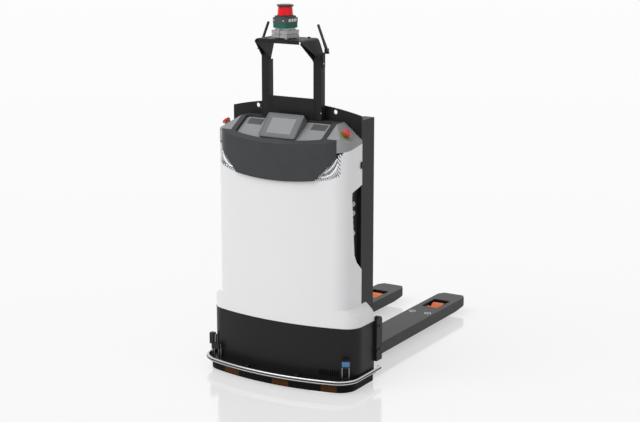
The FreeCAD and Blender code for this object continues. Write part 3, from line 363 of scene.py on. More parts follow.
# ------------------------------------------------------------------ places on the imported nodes, in metres
SIDES = (("right", 1), ("left", -1))
LAMP_CUPS = ((0.096, 1.068), (0.068, 1.088), (0.042, 1.112))  # inset from the cover's side, and height
SHOULDER_TOP, SHOULDER_DROP = 1.296, 0.8       # height of the shoulders' inner edge, and their slope
STOP_INSET, STOP_OUT = 0.041, 0.059            # a stop button from the cover's side, and along the slope
SCANNER_YAW = -9                               # degrees
ANTENNA_X, ANTENNA_Z, ANTENNA_LEAN = 0.188, 1.638, 22  # an antenna's pivot, and its lean in degrees
TRAY_SLOPE = 32                                # degrees
WINDOW_REAR, WINDOW_FRONT = 0.316, 0.158       # a fork's roller window, from the tip
WINDOW_HALF, WINDOW_CORNER = 0.049, 0.008
HOLES_BACK, HOLES_HALF = 0.433, 0.047          # a fork's two access holes: from the tip, and half apart
CAMERA_PLACE, CAMERA_DIP, CAMERA_TURN = (3.846, -6.726, 2.480), 12.82, 31.02  # angles in degrees


def skin(x, z, depth=0.0):
    """A point of the upper cover's front or corner, sunk by depth, and the direction it faces."""
    side, x = (1 if x >= 0 else -1), abs(x)
    centre = Vector((0, NOSE + BOW, 0))
    reach = BOW
    if x > HALF - CORNER:
        cx = HALF - CORNER
        cy = centre.y - math.sqrt((BOW - CORNER) ** 2 - cx * cx)
        centre, reach = Vector((cx, cy, 0)), CORNER
    out = Vector((x - centre.x, -math.sqrt(max(0.0, reach ** 2 - (x - centre.x) ** 2)), 0)).normalized()
    spot = centre + out * (reach - depth)
    return Vector((side * spot.x, spot.y, z)), Vector((side * out.x, out.y, 0))


def plan_line(half, nose, corner, rear, z, steps=10):
    """Points along a bowed outline from its rear left end round the front to its rear right end."""
    cx = half - corner
    cy = nose + BOW - math.sqrt((BOW - corner) ** 2 - cx * cx)
    lean = math.asin(cx / (BOW - corner))
    quarter = [(cx + corner * math.cos(a), cy - corner * math.sin(a))
               for a in (k / steps * (math.pi / 2 - lean) for k in range(steps + 1))]
    front = [(BOW * math.sin(a), nose + BOW - BOW * math.cos(a))
             for a in (lean * (1 - 2 * k / 24) for k in range(25))]
    right = [(half, rear)] + quarter
    return [(x, y, z) for x, y in right + front[1:-1] + [(-x, y) for x, y in reversed(right)]]


# ------------------------------------------------------------------ sizes and colours a user may change
class RobotColours(bpy.types.PropertyGroup):
    """Colours of the robot's finishes"""
    shell: FloatVectorProperty(name="Shell", description="Upper moulded cover", subtype="COLOR",
                               default=(0.83, 0.83, 0.835), min=0, max=1)
    skirt: FloatVectorProperty(name="Skirt", description="Lower moulded cover", subtype="COLOR",
                               default=(0.0120, 0.0120, 0.0125), min=0, max=1)
    console: FloatVectorProperty(name="Console", description="Dark console", subtype="COLOR",
                                 default=(0.047, 0.048, 0.050), min=0, max=1)
    deck: FloatVectorProperty(name="Deck", description="Console deck and shoulders", subtype="COLOR",
                              default=(0.31, 0.313, 0.318), min=0, max=1)
    steel: FloatVectorProperty(name="Steel", description="Coated steel work", subtype="COLOR",
                               default=(0.013, 0.013, 0.014), min=0, max=1)
    fork: FloatVectorProperty(name="Forks", description="Paint of the forks", subtype="COLOR",
                              default=(0.034, 0.035, 0.037), min=0, max=1)
    roller: FloatVectorProperty(name="Load rollers", description="Polyurethane rollers", subtype="COLOR",
                                default=(0.72, 0.17, 0.035), min=0, max=1)
    stop: FloatVectorProperty(name="Stop button", description="Mushroom heads", subtype="COLOR",
                              default=(0.68, 0.02, 0.025), min=0, max=1)
    scanner_red: FloatVectorProperty(name="Scanner window", description="Filter window", subtype="COLOR",
                                     default=(0.92, 0.006, 0.012), min=0, max=1)
    scanner_green: FloatVectorProperty(name="Scanner base", description="Scanner base", subtype="COLOR",
                                       default=(0.012, 0.115, 0.074), min=0, max=1)
    # Painted shade: the amber is darkened for the shadow that the lower ring lies in.
    amber: FloatVectorProperty(name="Amber marks", description="Marks on the lower ring", subtype="COLOR",
                               default=(0.12, 0.036, 0.004), min=0, max=1)


class RobotSizes(bpy.types.PropertyGroup):
    """Sizes of the stage"""
    floor: FloatProperty(name="Floor", description="Width of the floor", unit="LENGTH",
                         default=120.0, min=5, max=500)
    lens: FloatProperty(name="Lens", description="Focal length of the camera in millimetres", unit="NONE",
                        default=84.64, min=10, max=300)


def paint(node, mat):
    for name in [node] if isinstance(node, str) else node:
        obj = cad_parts[name]
        if obj.material_slots:
            for slot in obj.material_slots:
                slot.material = mat
        else:
            obj.data.materials.append(mat)


def colours():
    return bpy.context.scene.robot_colours


def rgb(value):
    return tuple(value)[:3]


# ------------------------------------------------------------------ operators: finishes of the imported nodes
class ROBOT_OT_covers(bpy.types.Operator):
    """Finish the moulded covers, console and shoulders"""
    bl_idname = "robot.covers"
    bl_label = "Covers"

    def execute(self, context):
        c = colours()
        paint("body_shell", moulded_gloss("shell white", rgb(c.shell)))
        paint("skirt_cover", grained_plastic("skirt charcoal", rgb(c.skirt), 0.38, spec=0.18))
        paint("top_console", grained_plastic("console charcoal", rgb(c.console), 0.42))
        paint(["tray_deck", "shoulders"], grained_plastic("deck grey", rgb(c.deck), 0.5, 0.0009))
        paint("screen_housing", grained_plastic("screen bezel", (0.15, 0.152, 0.155), 0.35, 0.0008))
        paint("side_panels", grained_plastic("panel black", (0.014, 0.014, 0.015), 0.5))
        return {"FINISHED"}


class ROBOT_OT_screen(bpy.types.Operator):
    """Finish the touch screen's glass"""
    bl_idname = "robot.screen"
    bl_label = "Screen glass"

    def execute(self, context):
        f = Finish("screen glass", (0.2, 0.2, 0.2), 0.12, Coat_Weight=0.8, Coat_Roughness=0.05)
        low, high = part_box("screen_glass")
        mx, mz = (low[0] + high[0]) / 2, (low[2] + high[2]) / 2
        hx, hz = (high[0] - low[0]) / 2, (high[2] - low[2]) / 2
        inx = f.add("ShaderNodeMath", {"operation": "ABSOLUTE"}, f.axis(0) - mx) < hx * 0.72
        inz = f.add("ShaderNodeMath", {"operation": "ABSOLUTE"}, f.axis(2) - mz) < hz * 0.72
        f.colour(f.mix(inx * inz, (0.13, 0.133, 0.136), (0.27, 0.275, 0.28)))
        f.rough(0.1 + 0.08 * f.noise(0.03, 5.0))
        paint("screen_glass", f.mat)
        return {"FINISHED"}


class ROBOT_OT_steel(bpy.types.Operator):
    """Finish the coated steel work"""
    bl_idname = "robot.steel"
    bl_label = "Steel work"

    def execute(self, context):
        c = colours()
        coat = powder_coat("black powder coat", rgb(c.steel))
        paint(["back_plate", "pillars", "chassis_frame", "fork_carriage", "gantry_frame"], coat)
        paint("hydraulic_unit", powder_coat("pump coat", (0.012, 0.012, 0.013), 0.5))
        # Painted shadow: the lower ring's black is taken down to near black for the dark under the machine.
        paint("lower_ring", grained_plastic("ring shadow black", (0.004, 0.004, 0.004), 0.5, spec=0.08))
        # Painted shade: the forks' sides take their paint darkened to 0.55.
        side = shade(rgb(c.fork), 0.55)
        paint(["fork_left", "fork_right"], worn_and_shaded_paint("fork paint", rgb(c.fork), side, (0.3, 0.3, 0.3)))
        paint(["load_arm_left", "load_arm_right"], powder_coat("arm coat", (0.03, 0.03, 0.032)))
        paint("sensor_stands", bright_metal("stand steel", (0.30, 0.30, 0.31), 0.35))
        return {"FINISHED"}


class ROBOT_OT_running_gear(bpy.types.Operator):
    """Finish the wheels, rollers, motors and links"""
    bl_idname = "robot.running_gear"
    bl_label = "Running gear"

    def execute(self, context):
        c = colours()
        rollers = ["load_roller_%s_%s" % (e, s) for e in ("front", "rear") for s in ("left", "right")]
        paint(rollers, rubbery("roller polyurethane", rgb(c.roller), 0.45))
        caster = rubbery("caster polyurethane", (0.05, 0.05, 0.052))
        paint(["caster_wheel_left", "caster_wheel_right"], caster)
        paint("drive_wheel_tyre", rubbery("drive tyre", (0.06, 0.03, 0.015)))
        zinc = bright_metal("zinc plate", (0.55, 0.55, 0.56), 0.32)
        paint(["bogie_left", "bogie_right", "drive_yoke", "caster_fork_left", "caster_fork_right"], zinc)
        paint("drive_wheel_hub", bright_metal("cast hub", (0.3, 0.3, 0.31), 0.5))
        ground = bright_metal("ground steel", (0.65, 0.65, 0.66), 0.15)
        paint(["steer_pinion", "lift_rod", "key_barrel"], ground)
        paint(["drive_motor", "steer_motor"], grained_plastic("motor paint", (0.035, 0.035, 0.037), 0.4))
        paint(["battery", "drive_controller"], grained_plastic("case grey", (0.09, 0.092, 0.095), 0.45))
        paint("guide_shoes", grained_plastic("shoe nylon", (0.62, 0.60, 0.54), 0.4))
        return {"FINISHED"}


class ROBOT_OT_lamps(bpy.types.Operator):
    """Finish the corner lamps and fit their reflectors, light guides and frames"""
    bl_idname = "robot.lamps"
    bl_label = "Lamps"

    def execute(self, context):
        paint("lamp_housings", self.ribbed_bowl())
        paint("lamp_lenses", clear_plastic("lamp lens", (0.9, 0.92, 0.94), 0.13))
        mirror = bright_metal("lamp mirror", (0.93, 0.94, 0.95), 0.08, (1, 1, 1))
        glow = Finish("light guide", (0.92, 0.93, 0.95), 0.18, Coat_Weight=0.6, Emission_Strength=0.35)
        cool = glow.mix(glow.noise(0.01, 2.0), (0.9, 0.93, 1.0), (1.0, 1.0, 1.0))
        glow.feed(glow.bsdf.inputs["Emission Color"], cool)
        glow.rough(0.12 + 0.1 * glow.noise(0.006, 3.0))
        dark = grained_plastic("lamp frame", (0.01, 0.01, 0.011), 0.22, 0.0008)
        low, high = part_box("lamp_lenses")
        for side, sign in SIDES:
            self.guides(side, sign, low[2], high[2], glow.mat, dark)
            self.cups(side, sign, mirror, glow.mat)
        return {"FINISHED"}

    def ribbed_bowl(self):
        """Moulded black bowl with plated vertical ribs."""
        f = Finish("lamp bowl", (0.1, 0.1, 0.1), 0.18)
        rib = f.add("ShaderNodeMath", {"operation": "PINGPONG"}, f.axis(0) + 0.6 * f.axis(2), 0.006) * 160.0
        plated = rib.ramp(0.40, 0.52)
        f.colour(f.mix(plated, (0.012, 0.012, 0.013), (0.85, 0.86, 0.88)))
        f.feed(f.bsdf.inputs["Metallic"], plated)
        return f.rough(0.12 + 0.1 * f.noise(0.01, 3.0)).bump(rib, 0.5, 0.0015).mat

    def guides(self, side, sign, low, high, glow, dark):
        """Two swept light guides, and the dark frame along the lens's lower edge and between them."""
        tall = high - low
        lower = ((0.250, 0.13), (0.285, 0.22), (0.315, 0.42), (0.334, 0.72))
        upper = ((0.268, 0.31), (0.292, 0.47), (0.313, 0.67), (0.327, 0.88))
        bm = bmesh.new()
        for run in (lower, upper):
            join(bm, strand(self.sweep(run, sign, low, tall, 0.0085), 0.0032, 12), Matrix())
        smooth(add_piece("lamp_guide_" + side, bm, glow, "chassis"))
        rim = ((0.224, 0.015), (0.262, 0.045), (0.300, 0.13), (0.330, 0.30), (0.345, 0.55))
        web = ((0.255, 0.21), (0.288, 0.345), (0.316, 0.55), (0.332, 0.80))
        bm = strand(self.sweep(rim, sign, low, tall, 0.0068), 0.0026, 12)
        join(bm, strand(self.sweep(web, sign, low, tall, 0.0095), 0.0042, 12), Matrix())
        smooth(add_piece("lamp_frame_" + side, bm, dark, "chassis"))

    def sweep(self, run, sign, low, tall, depth):
        """Points on a smooth line through (x, share of height) marks, under the lens."""
        marks = [Vector((x, low + k * tall)) for x, k in run]
        marks = [2 * marks[0] - marks[1]] + marks + [2 * marks[-1] - marks[-2]]
        out = []
        for k in range(1, len(marks) - 2):
            p0, p1, p2, p3 = marks[k - 1:k + 3]
            for j in range(8):
                t = j / 8
                spot = 0.5 * (2 * p1 + (p2 - p0) * t + (2 * p0 - 5 * p1 + 4 * p2 - p3) * t * t
                              + (3 * p1 - p0 - 3 * p2 + p3) * t ** 3)
                out.append(spot)
        out.append(marks[-2])
        return [skin(sign * q.x, q.y, depth)[0] for q in out]

    def cups(self, side, sign, mirror, glow):
        """Three plated cups with a domed lens in each."""
        bowls, domes = bmesh.new(), bmesh.new()
        bowl = [(0.0045, -0.006), (0.0075, -0.0035), (0.0098, 0.0), (0.0102, 0.0), (0.0102, -0.001),
                (0.0078, -0.0048), (0.0045, -0.0072)]
        dome = [(0, 0.0008), (0.0022, 0.0002), (0.0040, -0.0016), (0.0046, -0.0040), (0, -0.0040)]
        for inset, z in LAMP_CUPS:
            spot, out = skin(sign * (HALF - inset), z, 0.0092)
            join(bowls, lathe(bowl, 28), facing(spot, out))
            join(domes, lathe(dome, 20), facing(spot, out))
        smooth(add_piece("lamp_cups_" + side, bowls, mirror, "chassis"), 60)
        smooth(add_piece("lamp_domes_" + side, domes, glow, "chassis"), 60)


class ROBOT_OT_controls(bpy.types.Operator):
    """Finish the stop buttons and side controls, and fit their bezels, screws and gaskets"""
    bl_idname = "robot.controls"
    bl_label = "Controls"

    def execute(self, context):
        c = colours()
        red = moulded_gloss("stop red", rgb(c.stop), 0.3)
        paint(["estop_button_left", "estop_button_right"], red)
        paint("estop_bases", moulded_gloss("stop yellow", (0.30, 0.26, 0.02), 0.4, 0.1, 0.3))
        paint(["upper_button", "lower_button"], moulded_gloss("button grey", (0.42, 0.42, 0.42), 0.3))
        self.bezels()
        self.gaskets()
        return {"FINISHED"}

    def bezels(self):
        """Bright rings round the side buttons and the key, and the side panel's screws."""
        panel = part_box("upper_button")
        y = (panel[0][1] + panel[1][1]) / 2
        x = panel[1][0] - 0.006
        bright = bright_metal("bezel chrome", (0.72, 0.73, 0.74), 0.16, (1, 1, 1))
        bm = bmesh.new()
        ring = [(0.0098, 0), (0.0098, 0.0024), (0.0106, 0.0032), (0.0128, 0.0026), (0.0138, 0.0)]
        for node in ("upper_button", "lower_button", "key_barrel"):
            low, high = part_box(node)
            join(bm, lathe(ring, 36), facing((x, y, (low[2] + high[2]) / 2), (1, 0, 0)))
        smooth(add_piece("side_bezels", bm, bright, "chassis"))
        bm = bmesh.new()
        for z in (0.7985, 0.8295):
            join(bm, screw(0.005, 0.0014), facing((x, y, z), (1, 0, 0)))
        for z in (0.640, 0.730, 0.940):
            join(bm, screw(0.007, 0.0018), facing((x, y - 0.022 * (z > 0.65), z), (1, 0, 0)))
        zinc = bright_metal("screw zinc", (0.5, 0.5, 0.51), 0.3)
        smooth(add_piece("side_screws", bm, zinc, "chassis"))

    def gaskets(self):
        """A grooved rubber gasket under each stop button's yellow ring, and a grip rim on its head."""
        lean = math.atan(SHOULDER_DROP)
        rubber = rubbery("gasket rubber", (0.012, 0.012, 0.012))
        red = moulded_gloss("stop rim red", shade(rgb(colours().stop), 0.8), 0.4)
        for side, sign in SIDES:
            up = Vector((sign * math.sin(lean), 0, math.cos(lean)))
            low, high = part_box("estop_button_" + side)
            head = (Vector(low) + Vector(high)) / 2
            x = sign * (HALF - STOP_INSET)
            sunk = 0.0008
            foot = Vector((x, head.y, SHOULDER_TOP - sunk - SHOULDER_DROP * STOP_OUT))
            collar = [(0.0163, 0.0045), (0.0172, 0.0050), (0.0166, 0.0062), (0.0172, 0.0074),
                      (0.0163, 0.0080)]
            smooth(add_piece("stop_gasket_" + side, lathe(collar, 36), rubber, "chassis"))
            bpy.data.objects["stop_gasket_" + side].data.transform(facing(foot, up))
            rim = [(0.0199, 0.0185), (0.0206, 0.0190), (0.0208, 0.0205), (0.0206, 0.0222),
                   (0.0199, 0.0228)]
            bm = lathe(rim, 48)
            smooth(add_piece("stop_rim_" + side, bm, red, "estop_" + side))
            bpy.data.objects["stop_rim_" + side].data.transform(facing(foot, up))


class ROBOT_OT_scanner(bpy.types.Operator):
    """Finish the laser scanner and its mount"""
    bl_idname = "robot.scanner"
    bl_label = "Scanner"

    def execute(self, context):
        c = colours()
        paint("scanner_mount", bright_metal("bead-blasted alloy", (0.40, 0.405, 0.41), 0.42, (1, 1, 1)))
        paint("scanner_base", moulded_gloss("scanner green", rgb(c.scanner_green), 0.4, 0.0, 0.25))
        paint("scanner_head", grained_plastic("scanner grey", (0.075, 0.077, 0.080), 0.4))
        paint("scanner_rotor", grained_plastic("rotor black", (0.02, 0.02, 0.02), 0.3))
        paint("scanner_window", clear_plastic("scanner window", rgb(c.scanner_red), 0.95, 0.10, 0.0, 0.25))
        paint(["antenna_left", "antenna_right"], rubbery("antenna sleeve", (0.03, 0.03, 0.031), 0.42))
        return {"FINISHED"}


class ROBOT_OT_bumper(bpy.types.Operator):
    """Finish the bumper, the ring's marks and the corner sensors, and fit seams and trims"""
    bl_idname = "robot.bumper"
    bl_label = "Bumper"

    def execute(self, context):
        c = colours()
        paint("bumper_rail", bright_metal("polished rail", (0.58, 0.585, 0.59), 0.07, (2, 2, 30)))
        paint("bumper_deck", powder_coat("deck coat", (0.012, 0.012, 0.013), 0.35))
        self.seals()
        # The marks' amber holds painted shade for the shadow under the machine.
        paint("ring_marks", safety_film("amber film", rgb(c.amber), shade(rgb(c.amber), 0.5)))
        paint("corner_sensors", grained_plastic("sensor black", (0.015, 0.015, 0.016), 0.4))
        paint("sensor_window", clear_plastic("sensor blue", (0.02, 0.18, 0.42), 0.95, 0.1))
        return {"FINISHED"}

    def seals(self):
        """The seam between the two covers, a near-black sheet behind the vent's slots as painted shade, a
        black band along the rail's middle as painted reflection, and the deck's trim.
        """
        rubber = rubbery("seam rubber", (0.01, 0.01, 0.01), 0.5)
        proud = 0.0004
        seam = plan_line(SKIRT[1][0] + proud, SKIRT[0][1] - proud, 0.0904, SKIRT[1][1] - 0.002, SKIRT[1][2])
        smooth(add_piece("cover_seam", strand(seam, 0.0016, 8), rubber, "chassis"))
        self.shade_sheet()
        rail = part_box("bumper_rail")
        mid = (rail[0][2] + rail[1][2]) / 2
        line = plan_line(rail[1][0] - 0.0030, rail[0][1] + 0.0030, 0.112, rail[1][1] - 0.012, mid)
        # Painted reflection: a black band along the polished rail's middle stands for the dark band that the
        # rail reflects.
        reflection_black = rubbery("rail reflection black", (0.006, 0.006, 0.006), 0.35)
        smooth(add_piece("rail_reflection_band", strand(line, 0.0052, 12), reflection_black, "bumper"))
        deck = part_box("bumper_deck")
        nose = deck[0][1] - 0.0005
        trim = plan_line(deck[1][0] + 0.0005, nose, 0.109, SKIRT[1][1] - 0.003, deck[0][2] + 0.0115)
        smooth(add_piece("deck_trim", strand(trim, 0.0024, 8), rubber, "chassis"))

    def shade_sheet(self):
        """A near-black sheet behind the vent's slots: painted shade for the dark inside them."""
        behind = 0.0095
        outline = plan_line(SKIRT[1][0] - behind, SKIRT[0][1] + behind, 0.0805, SKIRT[1][1], 0, 16)
        line = [q for q in outline if 0.230 < q[0] < 0.354]
        bm = bmesh.new()
        low, high = ([bm.verts.new((x, y, z)) for x, y, _ in line] for z in (0.060, 0.110))
        for k in range(len(line) - 1):
            bm.faces.new((low[k], low[k + 1], high[k + 1], high[k]))
        bmesh.ops.solidify(bm, geom=bm.faces[:], thickness=0.0012)
        shade_black = rubbery("vent shade black", (0.004, 0.004, 0.004), 0.8)
        add_piece("vent_shade_sheet", bm, shade_black, "chassis")


class ROBOT_OT_fasteners(bpy.types.Operator):
    """Fit the bolts and screws of the steel work, and the gantry's welds"""
    bl_idname = "robot.fasteners"
    bl_label = "Fasteners"

    def execute(self, context):
        dark = bright_metal("blackened bolt", (0.06, 0.06, 0.062), 0.35, (1, 1, 1))
        zinc = bright_metal("zinc bolt", (0.5, 0.5, 0.5), 0.3, (1, 1, 1))
        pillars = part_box("pillars")
        rear = pillars[0][1]
        bm = bmesh.new()
        for k in range(8):
            z = 0.30 + 0.13 * k
            for sign in (1, -1):
                join(bm, screw(0.012, 0.003), facing((sign * 0.292, rear, z), (0, 1, 0)))
        for x in (-0.15, 0.0, 0.15):
            join(bm, screw(0.012, 0.003), facing((x, rear, 1.325), (0, 1, 0)))
        smooth(add_piece("plate_screws", bm, zinc, "chassis"))
        bm = bmesh.new()
        deep = pillars[1][1]
        for z in (0.30, 0.62, 0.96, 1.27):
            for sign in (1, -1):
                join(bm, screw(0.012, 0.003), facing((sign * (pillars[1][0] - 0.022), deep, z), (0, 1, 0)))
        smooth(add_piece("pillar_bolts", bm, dark, "chassis"))
        bm = bmesh.new()
        frame_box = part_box("chassis_frame")
        for sign in (1, -1):
            for y, z in ((0.016, 0.16), (0.040, 0.16), (0.016, 0.28), (0.040, 0.28)):
                join(bm, hexagon(0.013, 0.005),
                     facing((sign * frame_box[1][0], rear + y + 0.028, z), (sign, 0, 0)))
        smooth(add_piece("corner_bolts", bm, dark, "chassis"))
        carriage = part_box("fork_carriage")
        bm = bmesh.new()
        for sign in (1, -1):
            for x in (0.145, 0.198, 0.251):
                for z in (0.14, 0.20):
                    join(bm, hexagon(0.019, 0.009), facing((sign * x, carriage[1][1], z), (0, 1, 0)))
            for z in (0.40, 0.48):
                join(bm, hexagon(0.016, 0.007), facing((sign * 0.22, carriage[1][1], z), (0, 1, 0)))
        smooth(add_piece("carriage_bolts", bm, dark, "forks"))
        self.gantry(dark, zinc)
        return {"FINISHED"}

    def gantry(self, dark, zinc):
        """The gantry's bolts, and a painted weld at the foot of each upright."""
        gantry_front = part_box("gantry_frame")[0][1]
        pillar_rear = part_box("pillars")[0][1]
        plate_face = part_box("back_plate")[0][1]
        bm = bmesh.new()
        for sign in (1, -1):
            for x in (0.138, 0.157):
                for z in (1.312, 1.346):
                    join(bm, hexagon(0.010, 0.004), facing((sign * x, pillar_rear, z), (0, 1, 0)))
            join(bm, screw(0.008, 0.002), facing((sign * 0.170, plate_face - 0.030, 1.335), (sign, 0, 0)))
            join(bm, screw(0.008, 0.002), facing((sign * 0.173, gantry_front + 0.132, 1.572), (sign, 0, 0)))
        smooth(add_piece("gantry_bolts", bm, zinc, "chassis"))
        weld = bmesh.new()
        front = plate_face - 0.044
        z0, z1, steps = 1.300, 1.400, 26
        for sign in (1, -1):
            spots = [(sign * 0.1245, front - 0.0006, z0 + (z1 - z0) * k / steps) for k in range(steps + 1)]
            join(weld, strand(spots, 0.0018, 8), Matrix())
        painted = powder_coat("painted weld", (0.015, 0.015, 0.016))
        smooth(add_piece("gantry_welds", weld, painted, "chassis"))


class ROBOT_OT_scanner_details(bpy.types.Operator):
    """Fit the scanner's rings, cap, ribs and screws, and the antennas' caps"""
    bl_idname = "robot.scanner_details"
    bl_label = "Scanner details"

    def execute(self, context):
        low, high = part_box("scanner_window")
        mid = Vector(((low[0] + high[0]) / 2, (low[1] + high[1]) / 2, 0))
        black = grained_plastic("scanner black", (0.012, 0.012, 0.013), 0.25, 0.0006)
        bright = bright_metal("scanner trim", (0.7, 0.71, 0.72), 0.2, (1, 1, 1))
        bm = bmesh.new()
        for z, rad in ((low[2] + 0.0015, 0.0405), (high[2] - 0.002, 0.0368)):
            ring = [(rad - 0.004, -0.0012), (rad, -0.0015), (rad + 0.0008, 0.0004),
                    (rad - 0.0006, 0.002), (rad - 0.004, 0.002)]
            join(bm, lathe(ring, 56), Matrix.Translation((mid.x, mid.y, z)))
        smooth(add_piece("scanner_rings", bm, black, "chassis"))
        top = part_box("scanner_head")[1][2]
        cap = [(0, 0.0), (0.030, 0.0), (0.033, 0.0006), (0.034, 0.0016), (0.030, 0.0024),
               (0.012, 0.0030), (0, 0.0030)]
        bm = lathe(cap, 48)
        bm.transform(Matrix.Translation((mid.x, mid.y, top)))
        smooth(add_piece("scanner_cap", bm, black, "chassis"))
        turn = Matrix.Rotation(math.radians(SCANNER_YAW), 4, "Z")
        yaw = Matrix.Translation(mid) @ turn @ Matrix.Translation(-mid)
        z0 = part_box("scanner_base")[1][2]
        bm = bmesh.new()
        for k in range(5):
            y0, y1 = (mid.y - back + k * 0.012 for back in (0.030, 0.024))
            for x0, x1 in ((-0.049, -0.0475), (0.0475, 0.049)):
                join(bm, slab((x0, y0, z0 + 0.006), (x1, y1, z0 + 0.020), 0.0005), Matrix())
        bm.transform(yaw)
        smooth(add_piece("scanner_ribs", bm, bright, "chassis"))
        bm = bmesh.new()
        for k in (-0.030, 0.030):
            join(bm, screw(0.006, 0.0015), facing((k, mid.y - 0.0482, z0 + 0.012), (0, -1, 0)))
            join(bm, screw(0.005, 0.0012), facing((k, mid.y - 0.048, z0 - 0.052), (0, -1, 0)))
        bm.transform(yaw)
        smooth(add_piece("scanner_screws", bm, bright, "chassis"))
        sleeve = rubbery("antenna cap", (0.02, 0.02, 0.02), 0.4)
        lean = math.radians(ANTENNA_LEAN)
        for side, sign in SIDES:
            a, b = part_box("antenna_" + side)
            along = Vector((-sign * math.sin(lean), 0, math.cos(lean)))
            pivot = Vector((sign * ANTENNA_X, (a[1] + b[1]) / 2, ANTENNA_Z))
            bm = lathe([(0, 0.1292), (0.0026, 0.1290), (0.0050, 0.1278), (0.0064, 0.1255), (0.0066, 0.122),
                        (0.0, 0.122)], 24)
            for k in range(3):
                z = 0.012 + 0.007 * k
                fold = [(0.0072, z), (0.0080, z + 0.001), (0.0080, z + 0.003), (0.0072, z + 0.004)]
                join(bm, lathe(fold, 24), Matrix())
            bm.transform(facing(pivot, along))
            smooth(add_piece("antenna_cap_" + side, bm, sleeve, "antenna_" + side))
        return {"FINISHED"}


class ROBOT_OT_deck_details(bpy.types.Operator):
    """Fit dark mats in the console's tray as painted shade for its recess walls, and the forks' bushes and
    window rims
    """
    bl_idname = "robot.deck_details"
    bl_label = "Deck details"

    def execute(self, context):
        # Painted shade: the mats' dark grey stands for the shade on the tray's recess walls.
        mat = rubbery("tray mat shade", (0.11, 0.112, 0.115), 0.55)
        tray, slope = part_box("tray_deck"), math.radians(TRAY_SLOPE)
        out = Vector((0, -math.sin(slope), math.cos(slope)))
        rear = Vector((0, tray[1][1], tray[1][2])) - 0.0005 * out
        place = Matrix.Translation(rear) @ Matrix.Rotation(slope, 4, "X")
        bm = bmesh.new()
        for sign in (1, -1):
            x0, x1 = sorted((sign * 0.140, sign * 0.224))
            join(bm, slab((x0, -0.052, 0.0002), (x1, -0.010, 0.0022), 0.0008), place)
            for k in range(5):
                y = -0.046 + 0.0075 * k
                join(bm, slab((x0 + 0.006, y, 0.0018), (x1 - 0.006, y + 0.0032, 0.0034), 0.0006), place)
        smooth(add_piece("tray_shade_mats", bm, mat, "chassis"))
        self.grommets()
        return {"FINISHED"}

    def grommets(self):
        """Bright bushes in the forks' access holes and rubber rims round the roller windows."""
        bright = bright_metal("bush steel", (0.82, 0.82, 0.83), 0.3, (1, 1, 1))
        for side, sign in SIDES:
            low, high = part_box("fork_" + side)
            mid, top = (low[0] + high[0]) / 2, high[2]
            y = high[1] - HOLES_BACK
            ring = [(0.0155, -0.024), (0.0155, 0.0002), (0.0162, 0.0006), (0.0178, 0.0005),
                    (0.0182, 0.0001), (0.0169, -0.0001), (0.0169, -0.024)]
            bm = bmesh.new()
            for dx in (-HOLES_HALF, HOLES_HALF):
                join(bm, lathe(ring, 32), Matrix.Translation((mid + dx, y, top)))
            smooth(add_piece("fork_bushes_" + side, bm, bright, "forks"))
            bm = bmesh.new()
            y0, y1 = high[1] - WINDOW_REAR, high[1] - WINDOW_FRONT
            half, r = WINDOW_HALF, WINDOW_CORNER
            loop = []
            for cx, cy, a0 in ((mid + half - r, y1 - r, 0), (mid - half + r, y1 - r, 90),
                               (mid - half + r, y0 + r, 180), (mid + half - r, y0 + r, 270)):
                for k in range(7):
                    a = math.radians(a0 + 15 * k)
                    loop.append((cx + (r + 0.0006) * math.cos(a), cy + (r + 0.0006) * math.sin(a), top))
            join(bm, strand(loop + loop[:1], 0.0011, 8), Matrix())
            rubber = rubbery("rim rubber", (0.03, 0.03, 0.03))
            smooth(add_piece("fork_rims_" + side, bm, rubber, "forks"))


